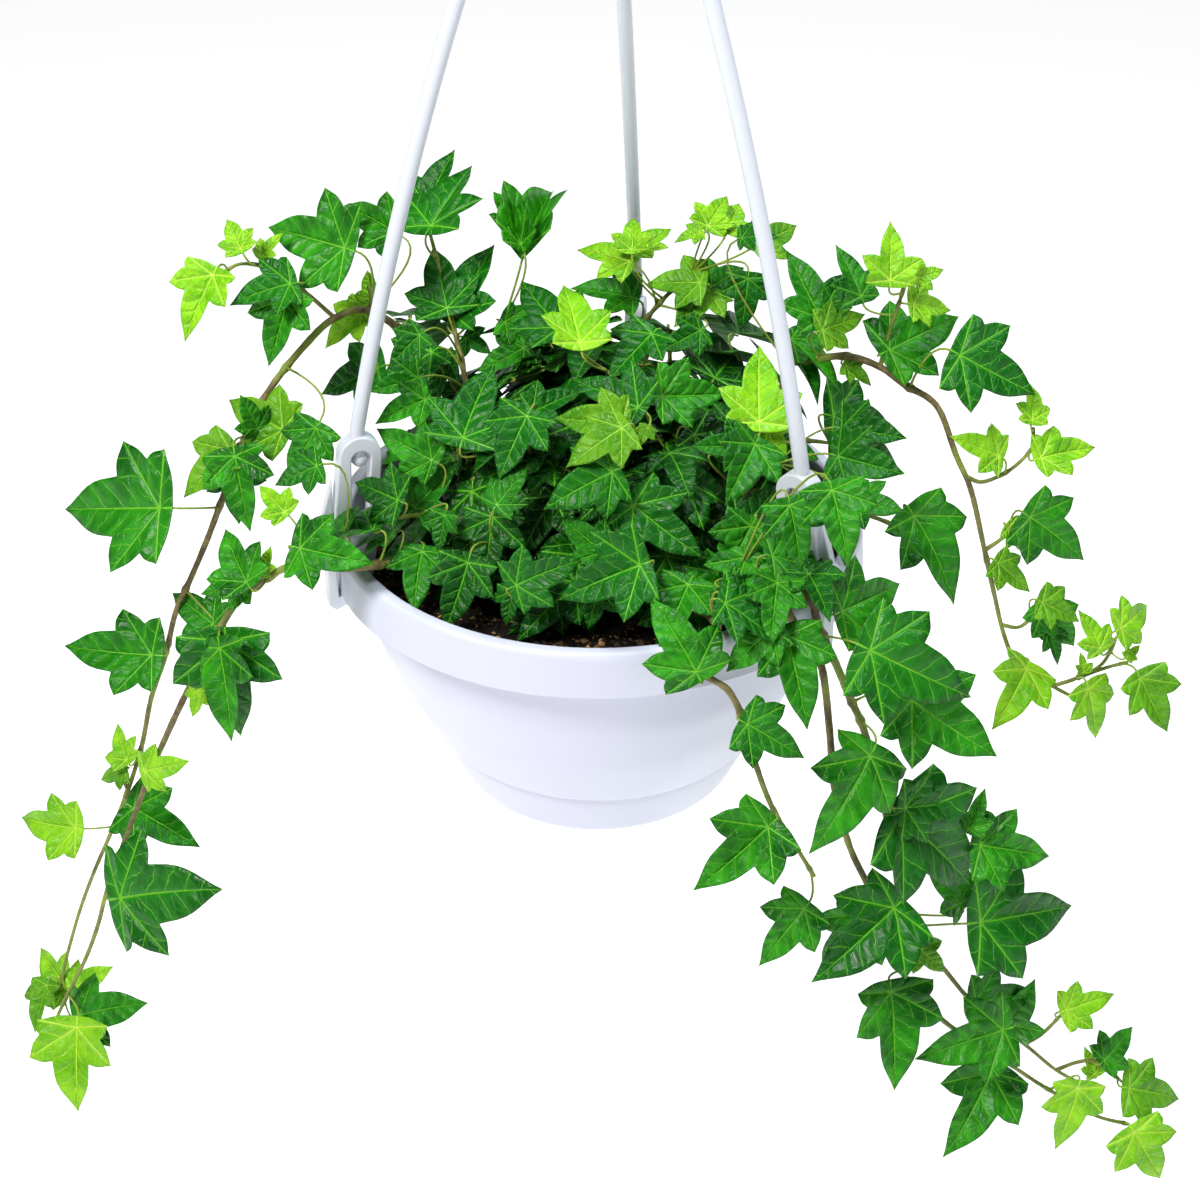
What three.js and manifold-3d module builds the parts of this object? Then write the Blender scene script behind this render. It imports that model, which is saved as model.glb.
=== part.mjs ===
// English ivy in a white hanging pot: a moulded pot, potting soil, a three-armed hanger on rim clips,
// and the plant, whose leafy stems fill the pot and trail over its rim.
// Millimetres, +Z up. The origin is the seat inside the hook, where the whole thing hangs.
import * as THREE from "three";
import { mergeVertices } from "three/addons/utils/BufferGeometryUtils.js";
import Module from "manifold-3d";

const wasm = await Module();
wasm.setup();

// Driving dimensions
const HANG_DROP = 400;
const RIM_RADIUS = 125;
const MOUTH_RADIUS = 117;
const BAND_RADIUS = 127;
const BAND_HEIGHT = 21;
const POT_DEPTH = 146;
const FOOT_RADIUS = 72;
const WALL = 2.4;
const SOIL_LEVEL = -14;
const ROOT_DEPTH = 12;
const ROD_RADIUS = 3.3;
const ROD_BOW = 9;
const CLIP_ANGLES = [200, 320, 80];
const CLIP_NAMES = ["left", "right", "back"];
const CLIP_TOP = 58;
const CLIP_RADIUS = 112;
const LEAF_THICKNESS = 0.8;
const STALK_HALF = 0.6;
const GAP = 0.3;
const DEG = Math.PI / 180;

// The reference view: the plant's leaves are placed where this eye sees them, in a 1200 pixel frame.
// Its aim is a point on the pot's axis, below the rim plane.
const VIEW = { distance: 850, elevation: 33.5, focal: 1727, middle: 600, aimX: 1, aimZ: -54.5 };

const sine = Math.sin(VIEW.elevation * DEG);
const cosine = Math.cos(VIEW.elevation * DEG);
const toEye = new THREE.Vector3(0, -cosine, sine);
const viewRight = new THREE.Vector3(1, 0, 0);
const viewUp = new THREE.Vector3(0, sine, cosine);
const eye = new THREE.Vector3(VIEW.aimX, 0, VIEW.aimZ).addScaledVector(toEye, VIEW.distance);

// A plant's natural variation, drawn from a seed
function seeded(seed) {
  let state = seed >>> 0;
  return function draw() {
    state = (state + 0x6d2b79f5) >>> 0;
    let t = state;
    t = Math.imul(t ^ (t >>> 15), t | 1);
    t ^= t + Math.imul(t ^ (t >>> 7), t | 61);
    return ((t ^ (t >>> 14)) >>> 0) / 4294967296;
  };
}

function sightLine(px, py) {
  return viewRight
    .clone()
    .multiplyScalar((px - VIEW.middle) / VIEW.focal)
    .addScaledVector(viewUp, (VIEW.middle - py) / VIEW.focal)
    .sub(toEye);
}

// The point seen at (px, py) in the upright plane at this y
function seenAtDepth(px, py, y) {
  const line = sightLine(px, py);
  return eye.clone().addScaledVector(line, (y - eye.y) / line.y);
}

// The point seen at (px, py) on the plant's domed head, or nearest to it
const DOME = { x: 4, y: 4, z: -8, wide: 106, high: 92 };
function seenOnDome(px, py) {
  const line = sightLine(px, py);
  const squash = new THREE.Vector3(1 / DOME.wide, 1 / DOME.wide, 1 / DOME.high);
  const from = eye.clone().sub(new THREE.Vector3(DOME.x, DOME.y, DOME.z)).multiply(squash);
  const along = line.clone().multiply(squash);
  const a = along.dot(along);
  const b = from.dot(along);
  const c = from.dot(from) - 1;
  const reach = Math.sqrt(Math.max(b * b - a * c, 0));
  return eye.clone().addScaledVector(line, (-b - reach) / a);
}

// Solids
function solidOf(geometry) {
  const bare = geometry.clone();
  bare.deleteAttribute("normal");
  bare.deleteAttribute("uv");
  const merged = mergeVertices(bare, 1e-4);
  const vertProperties = new Float32Array(merged.attributes.position.array);
  const triVerts = new Uint32Array(merged.index.array);
  return new wasm.Manifold(new wasm.Mesh({ numProp: 3, vertProperties, triVerts }));
}

function geometryOf(solid) {
  const mesh = solid.getMesh();
  const geometry = new THREE.BufferGeometry();
  geometry.setAttribute("position", new THREE.BufferAttribute(mesh.vertProperties, 3));
  geometry.setIndex(new THREE.BufferAttribute(mesh.triVerts, 1));
  geometry.computeVertexNormals();
  return geometry;
}

function fuse(solids) {
  return solids.reduce((whole, next) => whole.add(next));
}

// The one main body of a fused solid, with any hollow that the fusing sealed filled
function filled(solid) {
  return solid.decompose().reduce((main, next) => (next.volume() > main.volume() ? next : main));
}

function faceted(positions, faces) {
  const geometry = new THREE.BufferGeometry();
  geometry.setAttribute("position", new THREE.Float32BufferAttribute(positions, 3));
  geometry.setIndex(faces);
  return geometry;
}

// A closed tube through points, with its own radius at each, that turns no more than it must
function tube(points, radii, sides) {
  const positions = [];
  const faces = [];
  const normal = new THREE.Vector3();
  points.forEach((point, i) => {
    const ahead = points[Math.min(i + 1, points.length - 1)];
    const behind = points[Math.max(i - 1, 0)];
    const along = ahead.clone().sub(behind).normalize();
    if (i === 0) normal.set(0.31, 0.87, 0.38);
    normal.addScaledVector(along, -normal.dot(along)).normalize();
    const across = along.clone().cross(normal);
    for (let s = 0; s < sides; s++) {
      const turn = (2 * Math.PI * s) / sides;
      const spoke = point
        .clone()
        .addScaledVector(normal, radii[i] * Math.cos(turn))
        .addScaledVector(across, radii[i] * Math.sin(turn));
      positions.push(spoke.x, spoke.y, spoke.z);
    }
  });
  for (let i = 0; i + 1 < points.length; i++)
    for (let s = 0; s < sides; s++) {
      const a = i * sides + s;
      const b = i * sides + ((s + 1) % sides);
      faces.push(a, b, b + sides, a, b + sides, a + sides);
    }
  const last = (points.length - 1) * sides;
  for (let s = 1; s + 1 < sides; s++) {
    faces.push(0, s + 1, s);
    faces.push(last, last + s, last + s + 1);
  }
  return faceted(positions, faces);
}

// Pot: a revolved shell with a rolled band at the rim, a step above the foot and a rounded bottom edge
const ROUND = 32;
const STEP_HEIGHT = 34;
const STEP_RADIUS = 85;
function potProfile() {
  const bandFoot = -BAND_HEIGHT;
  const outside = [
    [0, -POT_DEPTH],
    [FOOT_RADIUS - 8, -POT_DEPTH],
    [FOOT_RADIUS - 1, -POT_DEPTH + 4],
    [STEP_RADIUS - 3.4, -POT_DEPTH + STEP_HEIGHT - 5],
    [STEP_RADIUS - 2, -POT_DEPTH + STEP_HEIGHT],
    [STEP_RADIUS + 1, -POT_DEPTH + STEP_HEIGHT + 2],
    [100, -POT_DEPTH + 66],
    [110, -POT_DEPTH + 94],
    [115.5, bandFoot - 2],
    [115.5, bandFoot],
    [BAND_RADIUS, bandFoot],
    [BAND_RADIUS - 0.6, bandFoot + 3],
    [RIM_RADIUS, -3],
    [RIM_RADIUS - 1.5, -0.6],
    [RIM_RADIUS - 3, 0],
    [MOUTH_RADIUS + 1.4, 0],
    [MOUTH_RADIUS, -1.4],
  ];
  const inside = [
    [113, bandFoot - 4],
    [107.4, -POT_DEPTH + 94],
    [97.4, -POT_DEPTH + 66],
    [STEP_RADIUS - 4, -POT_DEPTH + STEP_HEIGHT],
    [FOOT_RADIUS - 6, -POT_DEPTH + 5 + WALL],
    [FOOT_RADIUS - 12, -POT_DEPTH + WALL + 0.6],
    [0, -POT_DEPTH + WALL + 0.6],
  ];
  return [...outside, ...inside].map(([r, z]) => new THREE.Vector2(r, z));
}

// A profile turned about Z
function turned(profile, steps) {
  return new THREE.LatheGeometry(profile, steps).rotateX(Math.PI / 2);
}

const DRAIN_RADIUS = 4;
const DRAIN_CIRCLE = 45;
const DRAINS = 4;
function makePot() {
  const shell = solidOf(turned(potProfile(), ROUND));
  const drains = Array.from({ length: DRAINS }, (_, i) => {
    const turn = (i + 0.5) * (360 / DRAINS) * DEG;
    const hole = new THREE.CylinderGeometry(DRAIN_RADIUS, DRAIN_RADIUS, 12, 8);
    hole.rotateX(Math.PI / 2);
    hole.translate(DRAIN_CIRCLE * Math.cos(turn), DRAIN_CIRCLE * Math.sin(turn), -POT_DEPTH);
    return solidOf(hole);
  });
  return shell.subtract(fuse(drains));
}

// Rim clips: an arch over the rim that leans inwards, an outer leg that hooks under the band,
// an inner leg beside the wall, and a rounded finger tab. Profiles are drawn as radius and height.
const CLIP_THICK = 9;
const TAB_THICK = 4;
function plate(outline, thick, holes = []) {
  const shape = new THREE.Shape(outline.map(([r, z]) => new THREE.Vector2(r, z)));
  holes.forEach((hole) => shape.holes.push(new THREE.Path(hole.map(([r, z]) => new THREE.Vector2(r, z)))));
  const made = new THREE.ExtrudeGeometry(shape, { depth: thick, bevelEnabled: false, steps: 1 });
  return solidOf(made.rotateX(Math.PI / 2).translate(0, thick / 2, 0));
}

function arc(r, z, radius, from, to, steps) {
  return Array.from({ length: steps + 1 }, (_, i) => {
    const turn = (from + ((to - from) * i) / steps) * DEG;
    return [r + radius * Math.cos(turn), z + radius * Math.sin(turn)];
  });
}

const ARCH_RADIUS = 9.5;
const SLOT_RADIUS = 4.4;
const ARCH_Z = CLIP_TOP - ARCH_RADIUS;
function makeClip(angle) {
  const outer = RIM_RADIUS + 2.4;
  const underBand = -BAND_HEIGHT - GAP;
  const outline = [
    [MOUTH_RADIUS + 1.2, GAP],
    [RIM_RADIUS - 0.4, GAP],
    [outer + 0.2, -3],
    [outer + 0.2, underBand],
    [outer - 6, underBand],
    [outer - 6, underBand - 4],
    [outer + 2, underBand - 7],
    [outer + 5, underBand - 4],
    [outer + 4.4, -6],
    [outer - 0.5, 16],
    ...arc(CLIP_RADIUS, ARCH_Z, ARCH_RADIUS, 0, 180, 8),
    [MOUTH_RADIUS - 9.5, 8],
    [MOUTH_RADIUS - 6.4, SOIL_LEVEL + 1.5],
    [MOUTH_RADIUS - 3.2, SOIL_LEVEL + 1.5],
    [MOUTH_RADIUS - 0.9, -1],
  ];
  const slot = [
    ...arc(CLIP_RADIUS, ARCH_Z - 1.5, SLOT_RADIUS, 0, 180, 6),
    [CLIP_RADIUS - 0.6, 9],
    [CLIP_RADIUS + 7, 9],
  ];
  const arch = plate(outline, CLIP_THICK, [slot]);
  const tab = plate([[outer - 2, 38], ...arc(outer + 1, 12, 8.5, 68, -62, 8), [outer + 2, -14]], TAB_THICK);
  const bore = new THREE.CylinderGeometry(ROD_RADIUS + GAP, ROD_RADIUS + GAP, 16, 10);
  bore.rotateX(Math.PI / 2).translate(CLIP_RADIUS, 0, CLIP_TOP - 4);
  const clip = arch.add(tab).subtract(solidOf(bore));
  return solidOf(geometryOf(clip).rotateZ(angle * DEG));
}

// Hanger: three bowed rods, each with a knob under its clip's arch and its head in a socket of the hook's hub
const HUB_Z = HANG_DROP - 54;
const HUB_HEIGHT = 22;
const HUB_RADIUS = 12.5;
const HUB_TOP_RADIUS = 7;
const SOCKET_DEPTH = 14;
const ROD_HEAD_RADIUS = 6.4;
const HOOK_RADIUS = 13;
const HOOK_WIRE = 3.6;
const HOOK_Z = HANG_DROP - HOOK_RADIUS + HOOK_WIRE;
const KNOB_RADIUS = 3.9;
const KNOB_Z = CLIP_TOP - 12;
function rodLine(angle, steps) {
  const foot = new THREE.Vector2(CLIP_RADIUS, CLIP_TOP + 2);
  const head = new THREE.Vector2(ROD_HEAD_RADIUS, HUB_Z + SOCKET_DEPTH - 1);
  const along = head.clone().sub(foot).normalize();
  const belly = foot.clone().add(head).multiplyScalar(0.5);
  belly.add(new THREE.Vector2(along.y, -along.x).multiplyScalar(2 * ROD_BOW));
  const curve = new THREE.QuadraticBezierCurve(foot, belly, head);
  const toPlace = ({ x, y }) => new THREE.Vector3(x * Math.cos(angle * DEG), x * Math.sin(angle * DEG), y);
  return curve.getPoints(steps).map(toPlace);
}

function makeRod(angle) {
  const line = rodLine(angle, 7);
  const points = [new THREE.Vector3(line[0].x, line[0].y, KNOB_Z), ...line];
  const rod = tube(points, points.map(() => ROD_RADIUS), 8);
  const knob = new THREE.SphereGeometry(KNOB_RADIUS, 8, 5).rotateX(Math.PI / 2);
  return solidOf(rod).add(solidOf(knob.translate(line[0].x, line[0].y, KNOB_Z)));
}

function makeSocket(angle) {
  const [neck, head] = rodLine(angle, 7).slice(-2);
  const past = head.clone().addScaledVector(head.clone().sub(neck).normalize(), 1);
  return solidOf(tube([neck, past], [ROD_RADIUS + 2 * GAP, ROD_RADIUS + 2 * GAP], 8));
}

function makeHook() {
  const profile = [[0, 0], [HUB_RADIUS - 1, 0], [HUB_RADIUS, 1.5], [HUB_RADIUS - 0.5, 12],
    [HUB_TOP_RADIUS, HUB_HEIGHT - 2], [HUB_TOP_RADIUS - 2, HUB_HEIGHT], [0, HUB_HEIGHT]];
  const hub = solidOf(turned(profile.map(([r, z]) => new THREE.Vector2(r, HUB_Z + z)), 16));
  const shank = [[0, HUB_Z + HUB_HEIGHT - 4], [0, HOOK_Z - HOOK_RADIUS - 8]];
  const line = [...shank, ...arc(0, HOOK_Z, HOOK_RADIUS, -65, 175, 12)];
  const points = line.map(([x, z]) => new THREE.Vector3(x, 0, z));
  const wire = solidOf(tube(points, points.map(() => HOOK_WIRE), 8));
  return hub.add(wire).subtract(fuse(CLIP_ANGLES.map(makeSocket)));
}

// English ivy leaf: five pointed lobes round the end of the leaf stalk. Each corner is a turn from the
// middle lobe in degrees, its reach and its sag, both as parts of the leaf's length.
const NOTCH_REACH = 0.13;
const LOBES = [
  [0, 1, -0.1],
  [31, 0.45, 0.02],
  [55, 0.65, -0.06],
  [78, 0.4, 0.02],
  [99, 0.46, -0.04],
  [171, NOTCH_REACH, 0],
];
const CORNERS = [...LOBES, ...LOBES.slice(1).reverse().map(([turn, reach, sag]) => [-turn, reach, sag])];
const STALK_STEPS = 2;

// The stalk bows from the stem into the notch at the back of the blade
function stalkPoints({ foot, base, along, face, length }) {
  const end = base.clone().addScaledVector(along, -NOTCH_REACH * length);
  const bow = 0.3 * foot.distanceTo(end);
  const bend = end.clone().addScaledVector(along, -bow).addScaledVector(face, -0.4 * bow);
  return new THREE.QuadraticBezierCurve3(end, bend, foot).getPoints(STALK_STEPS);
}

// One closed body: a fan of triangles round the stalk's end, alike above and below, and the stalk, which
// is drawn out of the blade's edge between the two corners of the notch
function leafSolid(leaf) {
  const { base, along, face } = leaf;
  const side = along.clone().cross(face);
  const middle = [base, ...leafCorners(leaf)];
  const half = LEAF_THICKNESS / 2;
  const layers = [half, -half].flatMap((h) => middle.map((point) => point.clone().addScaledVector(face, h)));
  const under = middle.length;
  const faces = [];
  for (let i = 1; i < under; i++) {
    const next = i + 1 < under ? i + 1 : 1;
    faces.push(0, next, i, under, under + i, under + next);
    if (i !== LOBES.length) faces.push(i, next, under + next, i, under + next, under + i);
  }
  const notch = LOBES.length;
  let ring = [notch, notch + 1, under + notch + 1, under + notch];
  const stalk = stalkPoints(leaf);
  for (let step = 1; step <= STALK_STEPS; step++) {
    const back = stalk[step].clone().sub(stalk[step - 1]).normalize();
    const across = side.clone().addScaledVector(back, -side.dot(back)).setLength(STALK_HALF);
    const lift = back.clone().cross(across).setLength(STALK_HALF);
    const next = [[1, 1], [-1, 1], [-1, -1], [1, -1]].map(([a, b]) => {
      layers.push(stalk[step].clone().addScaledVector(across, a).addScaledVector(lift, b));
      return layers.length - 1;
    });
    for (let s = 0; s < 4; s++) {
      const [a, b] = [ring[s], ring[(s + 1) % 4]];
      const [c, d] = [next[(s + 1) % 4], next[s]];
      faces.push(a, b, c, a, c, d);
    }
    ring = next;
  }
  faces.push(ring[0], ring[1], ring[2], ring[0], ring[2], ring[3]);
  return solidOf(faceted(layers.flatMap((point) => point.toArray()), faces));
}

// The corners round a leaf's blade
function leafCorners({ base, along, face, length, plump }) {
  const side = along.clone().cross(face);
  return CORNERS.map(([turn, reach, sag]) => {
    const point = base.clone().addScaledVector(along, length * reach * Math.cos(turn * DEG));
    point.addScaledVector(side, length * plump * reach * Math.sin(turn * DEG));
    return point.addScaledVector(face, length * sag);
  });
}

// Whether a straight stretch passes through a blade, or within a berth of its edge
const BLADE_BERTH = 0.9;
function pierces(from, to, blade, berth) {
  const side = blade.along.clone().cross(blade.face);
  const flat = ({ x, y, z }) => {
    const off = new THREE.Vector3(x, y, z).sub(blade.base);
    return [off.dot(blade.along), off.dot(side), off.dot(blade.face)];
  };
  const [a, b] = [flat(from), flat(to)];
  const corners = leafCorners(blade).map(flat);
  return corners.some((corner, i) => piercesFan(a, b, corner, corners[(i + 1) % corners.length], berth));
}

// The same for one triangle of the blade's fan, whose first corner is the origin
function piercesFan(a, b, p, q, berth) {
  const cross = p[0] * q[1] - p[1] * q[0];
  const slopeX = (p[2] * q[1] - p[1] * q[2]) / cross;
  const slopeY = (p[0] * q[2] - p[2] * q[0]) / cross;
  const heightA = a[2] - slopeX * a[0] - slopeY * a[1];
  const heightB = b[2] - slopeX * b[0] - slopeY * b[1];
  if (Math.sign(heightA - BLADE_BERTH) === Math.sign(heightB - BLADE_BERTH)
    && Math.sign(heightA + BLADE_BERTH) === Math.sign(heightB + BLADE_BERTH)
    && Math.abs(heightA) > BLADE_BERTH) return false;
  const part = THREE.MathUtils.clamp(heightA / (heightA - heightB || 1), 0, 1);
  const hit = [a[0] + part * (b[0] - a[0]), a[1] + part * (b[1] - a[1])];
  const u = (hit[0] * q[1] - hit[1] * q[0]) / cross;
  const v = (p[0] * hit[1] - p[1] * hit[0]) / cross;
  const grown = 1 + berth / Math.max(10, Math.hypot(hit[0], hit[1]));
  return u > -0.02 && v > -0.02 && u + v < grown;
}

// Whether a leaf's edges, ribs or stalk pass through another leaf's blade
function bladesCross(leaf, other) {
  const corners = leafCorners(leaf);
  const stalk = stalkPoints(leaf);
  const edges = corners.map((corner, i) => [corner, corners[(i + 1) % corners.length]]);
  const ribs = corners.map((corner) => [leaf.base, corner]);
  const stretches = [...edges, ...ribs, [stalk[0], stalk[1]], [stalk[1], stalk[2]]];
  return stretches.some(([from, to]) => pierces(from, to, other, 0.5));
}

// A post is a straight stretch of something that leaves keep clear of: a rod, a clip or a trailing stem
function meetsPost(leaf, post) {
  if (pierces(post.from, post.to, leaf, post.radius + 2)) return true;
  if (post.owner === leaf.owner) return false;
  const stalk = new THREE.Line3(...stalkPoints(leaf).slice(1));
  return [0, 0.35, 0.7, 1].some((part) => {
    const point = stalk.at(part, new THREE.Vector3());
    return new THREE.Line3(post.from, post.to).closestPointToPoint(point, true, new THREE.Vector3())
      .distanceTo(point) < post.radius + 2;
  });
}

// Whether a point is in or too near the pot's rim and band, or sunk in the soil
function meetsPot({ x, y, z }) {
  const out = Math.hypot(x, y);
  if (out > BAND_RADIUS + 4 || z > 2 || z < -POT_DEPTH) return false;
  return out > MOUTH_RADIUS - 4 || z < SOIL_LEVEL + 2;
}

// The first of a leaf's possible places that is clear of all that is already there, or the least bad
const SHIFTS = [0, 4, -4, 8, -8, 12, -12, 16, -16, 20, -20, 24];
const ATTEMPTS = 120;
function settled(leafAt, others, posts) {
  let best = { count: Infinity };
  for (let attempt = 0; attempt < ATTEMPTS && best.count > 0; attempt++) {
    const leaf = leafAt(SHIFTS[attempt % SHIFTS.length]);
    const near = others.filter(({ base, length }) => base.distanceTo(leaf.base) < length + leaf.length);
    const crossed = near.filter((other) => bladesCross(leaf, other) || bladesCross(other, leaf));
    const strangers = crossed.filter((other) => other.owner !== leaf.owner);
    const met = posts.filter((post) => meetsPost(leaf, post));
    const sunk = leafCorners(leaf).filter(meetsPot);
    const count = crossed.length + 9 * (strangers.length + met.length + sunk.length);
    if (count < best.count) best = { count, leaf };
  }
  return best.leaf;
}

// A leaf from where its stalk end and its tip are seen, its stalk end's place in space and its facing
function leafSeen([, , tipX, tipY], base, face, plump) {
  const line = sightLine(tipX, tipY);
  const reach = base.clone().sub(eye).dot(face) / line.dot(face);
  const along = eye.clone().addScaledVector(line, reach).sub(base);
  const length = along.length();
  return { base, face, along: along.normalize(), length, plump };
}

// A facing swung a little at random
function swung(facing, draw, much) {
  const swing = () => much * (2 * draw() - 1);
  return facing.clone().add(new THREE.Vector3(swing(), 0.7 * swing(), swing())).normalize();
}

function plumpness(draw) {
  return 0.94 + 0.16 * draw();
}

function liftedToEye(place, lift) {
  return place.clone().addScaledVector(eye.clone().sub(place).normalize(), lift);
}

// Trailing stems. Each starts in the soil and passes over the rim through points in millimetres, then runs
// where the view shows it: rows of pixel x, pixel y and depth along Y. A leaf's row is the pixel of its
// stalk end, the pixel of its tip, and its lift off the stem towards the eye.
const TRAILS = [
  {
    name: "ivy_trail_left_arch",
    seed: 101,
    start: [[-82, 48, -11], [-84, 47, 20], [-88, 42, 62]],
    route: [
      [370, 311, 32], [335, 318, 26], [306, 344, 20], [268, 392, 9], [244, 442, 0], [222, 500, -8],
      [207, 540, -13], [190, 580, -16], [176, 611, -19], [165, 657, -21], [151, 699, -23], [142, 745, -24],
      [128, 790, -25], [110, 835, -25], [94, 872, -25], [80, 910, -24], [68, 952, -24], [60, 985, -24],
    ],
    leaves: [
      [213, 275, 179, 337, 14], [241, 249, 227, 217, 8], [262, 257, 283, 232, 4], [288, 298, 270, 367, 16],
      [395, 232, 341, 198, 4], [374, 300, 365, 268, -6], [362, 312, 320, 345, -8],
      [345, 248, 264, 224, 6], [283, 430, 223, 396, 8], [230, 450, 180, 497, 14], [235, 456, 247, 530, 20],
      [160, 508, 61, 508, 6], [213, 624, 171, 591, 12], [152, 655, 59, 650, 10], [127, 760, 112, 724, 6],
      [124, 770, 98, 782, 5], [134, 808, 200, 846, 3], [76, 828, 13, 822, 6], [68, 988, 34, 950, 8],
      [72, 988, 109, 970, 4], [47, 985, 30, 1033, 5],
    ],
  },
  {
    name: "ivy_trail_left_front",
    seed: 102,
    start: [[-78, -52, -11], [-88, -58, 4], [-104, -68, 8]],
    route: [
      [300, 565, -68], [270, 576, -67], [235, 604, -64], [207, 655, -60], [184, 698, -57], [157, 757, -54],
      [140, 800, -53], [125, 840, -52], [107, 890, -51], [98, 925, -51], [85, 960, -51], [65, 1000, -51],
      [56, 1022, -51], [58, 1040, -51],
    ],
    leaves: [
      [317, 466, 272, 484, 8], [300, 548, 372, 564, 12], [285, 512, 258, 484, 2], [262, 573, 272, 546, 2],
      [247, 582, 217, 529, 10], [245, 584, 199, 590, 6], [220, 648, 234, 742, 14], [200, 690, 192, 718, 2],
      [145, 771, 186, 762, 4], [120, 898, 214, 882, 15], [80, 1015, 143, 998, 5], [77, 1027, 72, 1115, 10],
    ],
  },
  {
    name: "ivy_trail_right_arch",
    seed: 103,
    start: [[86, 32, -11], [87, 30, 20], [88, 27, 58]],
    route: [
      [800, 362, 22], [845, 356, 17], [880, 367, 12], [905, 385, 8], [937, 406, 2], [956, 455, -4],
      [971, 490, -8], [983, 543, -11], [994, 593, -13], [1004, 635, -14], [1018, 664, -15],
      [1052, 686, -16], [1075, 698, -16],
    ],
    leaves: [
      [861, 296, 840, 241, 4], [890, 280, 893, 220, 10], [917, 278, 946, 270, 6], [913, 304, 953, 309, 4],
      [889, 350, 963, 312, 12], [960, 355, 1037, 396, 10], [998, 456, 953, 436, 8], [1041, 458, 1100, 443, 8],
      [1032, 420, 1033, 380, 4], [846, 366, 874, 385, 6], [820, 318, 786, 249, 2],
      [822, 330, 868, 315, 6], [1030, 517, 1091, 557, 8], [1008, 527, 1028, 552, 4],
      [998, 563, 1032, 592, 6], [1042, 602, 1083, 621, 10], [1048, 632, 1062, 665, 5],
      [1100, 648, 1083, 608, 6], [1120, 628, 1155, 602, 8], [1127, 657, 1141, 645, 5],
      [1140, 678, 1167, 736, 12], [1088, 688, 1102, 742, 10], [1026, 669, 1000, 732, 12],
      [1083, 672, 1080, 652, 3],
    ],
  },
  {
    name: "ivy_trail_right_outer",
    seed: 104,
    start: [[72, -64, -11], [78, -76, 6], [90, -97, 12]],
    route: [
      [818, 625, -100], [836, 664, -102], [850, 698, -103], [864, 730, -104], [880, 790, -104],
      [893, 850, -103], [900, 900, -102], [918, 936, -100], [945, 970, -98], [970, 1000, -95],
      [1000, 1026, -92], [1028, 1047, -89], [1056, 1070, -86], [1084, 1085, -84],
    ],
    leaves: [
      [842, 611, 908, 583, 6], [870, 650, 976, 702, 12], [912, 700, 995, 762, 4], [870, 756, 822, 859, 22],
      [900, 816, 987, 886, 14], [905, 808, 966, 803, 8], [968, 828, 985, 789, 0], [980, 845, 1056, 857, -4],
      [980, 922, 1083, 908, 10], [960, 904, 928, 864, 2], [976, 1002, 1038, 991, 4],
      [1066, 1010, 1115, 993, 6], [1104, 1060, 1135, 1028, 6], [1129, 1088, 1186, 1097, 12],
      [1094, 1074, 1083, 1047, 10],
    ],
  },
  {
    name: "ivy_trail_right_middle",
    seed: 105,
    start: [[56, -72, -11], [64, -82, 8], [76, -101, 11]],
    route: [
      [806, 640, -106], [822, 668, -112], [830, 735, -116], [834, 785, -118], [849, 845, -119],
      [870, 890, -119], [888, 940, -118], [906, 979, -116], [933, 1008, -114], [950, 1026, -112],
      [1012, 1066, -108], [1046, 1088, -105], [1094, 1115, -102], [1128, 1124, -100],
    ],
    leaves: [
      [787, 636, 812, 728, 12], [894, 908, 818, 984, 14], [918, 947, 947, 976, -3], [891, 992, 903, 1091, 10],
      [1003, 1030, 918, 1058, 16], [990, 1072, 957, 1162, 10], [1078, 1088, 1062, 1152, 12],
      [1134, 1132, 1166, 1186, 10],
    ],
  },
  {
    name: "ivy_trail_front",
    seed: 106,
    start: [[38, -86, -11], [42, -96, 4], [50, -116, 9]],
    route: [
      [700, 668, -130], [728, 690, -132], [745, 724, -134], [756, 765, -136], [772, 807, -137],
      [795, 845, -138], [814, 876, -138],
    ],
    leaves: [
      [696, 672, 656, 594, 6], [747, 724, 807, 757, 8], [768, 827, 698, 896, 8], [804, 909, 758, 966, 8],
    ],
  },
];

function trailStem({ start, route }) {
  const [x, y] = start[0];
  const points = [[x, y, SOIL_LEVEL - ROOT_DEPTH], ...start].map((place) => new THREE.Vector3(...place));
  points.push(...route.map(([px, py, y]) => seenAtDepth(px, py, y)));
  return points;
}

const STEM_THICK = 2.2;
const STEM_THIN = 1;
const FOOT_LAG = 12;
// Where a leaf's stalk leaves the stem: the nearest place on it, or a little before
function footOnStem(stem, base, firstStep) {
  let best = { gap: Infinity };
  for (let i = firstStep; i + 1 < stem.length; i++) {
    const span = stem[i + 1].clone().sub(stem[i]);
    const part = THREE.MathUtils.clamp(base.clone().sub(stem[i]).dot(span) / span.lengthSq(), 0, 1);
    const gap = stem[i].clone().addScaledVector(span, part).distanceTo(base);
    const lag = Math.min(FOOT_LAG, 0.3 * gap) / span.length();
    if (gap < best.gap) best = { gap, foot: stem[i].clone().addScaledVector(span, Math.max(part - lag, 0)) };
  }
  return best.foot;
}

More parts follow.
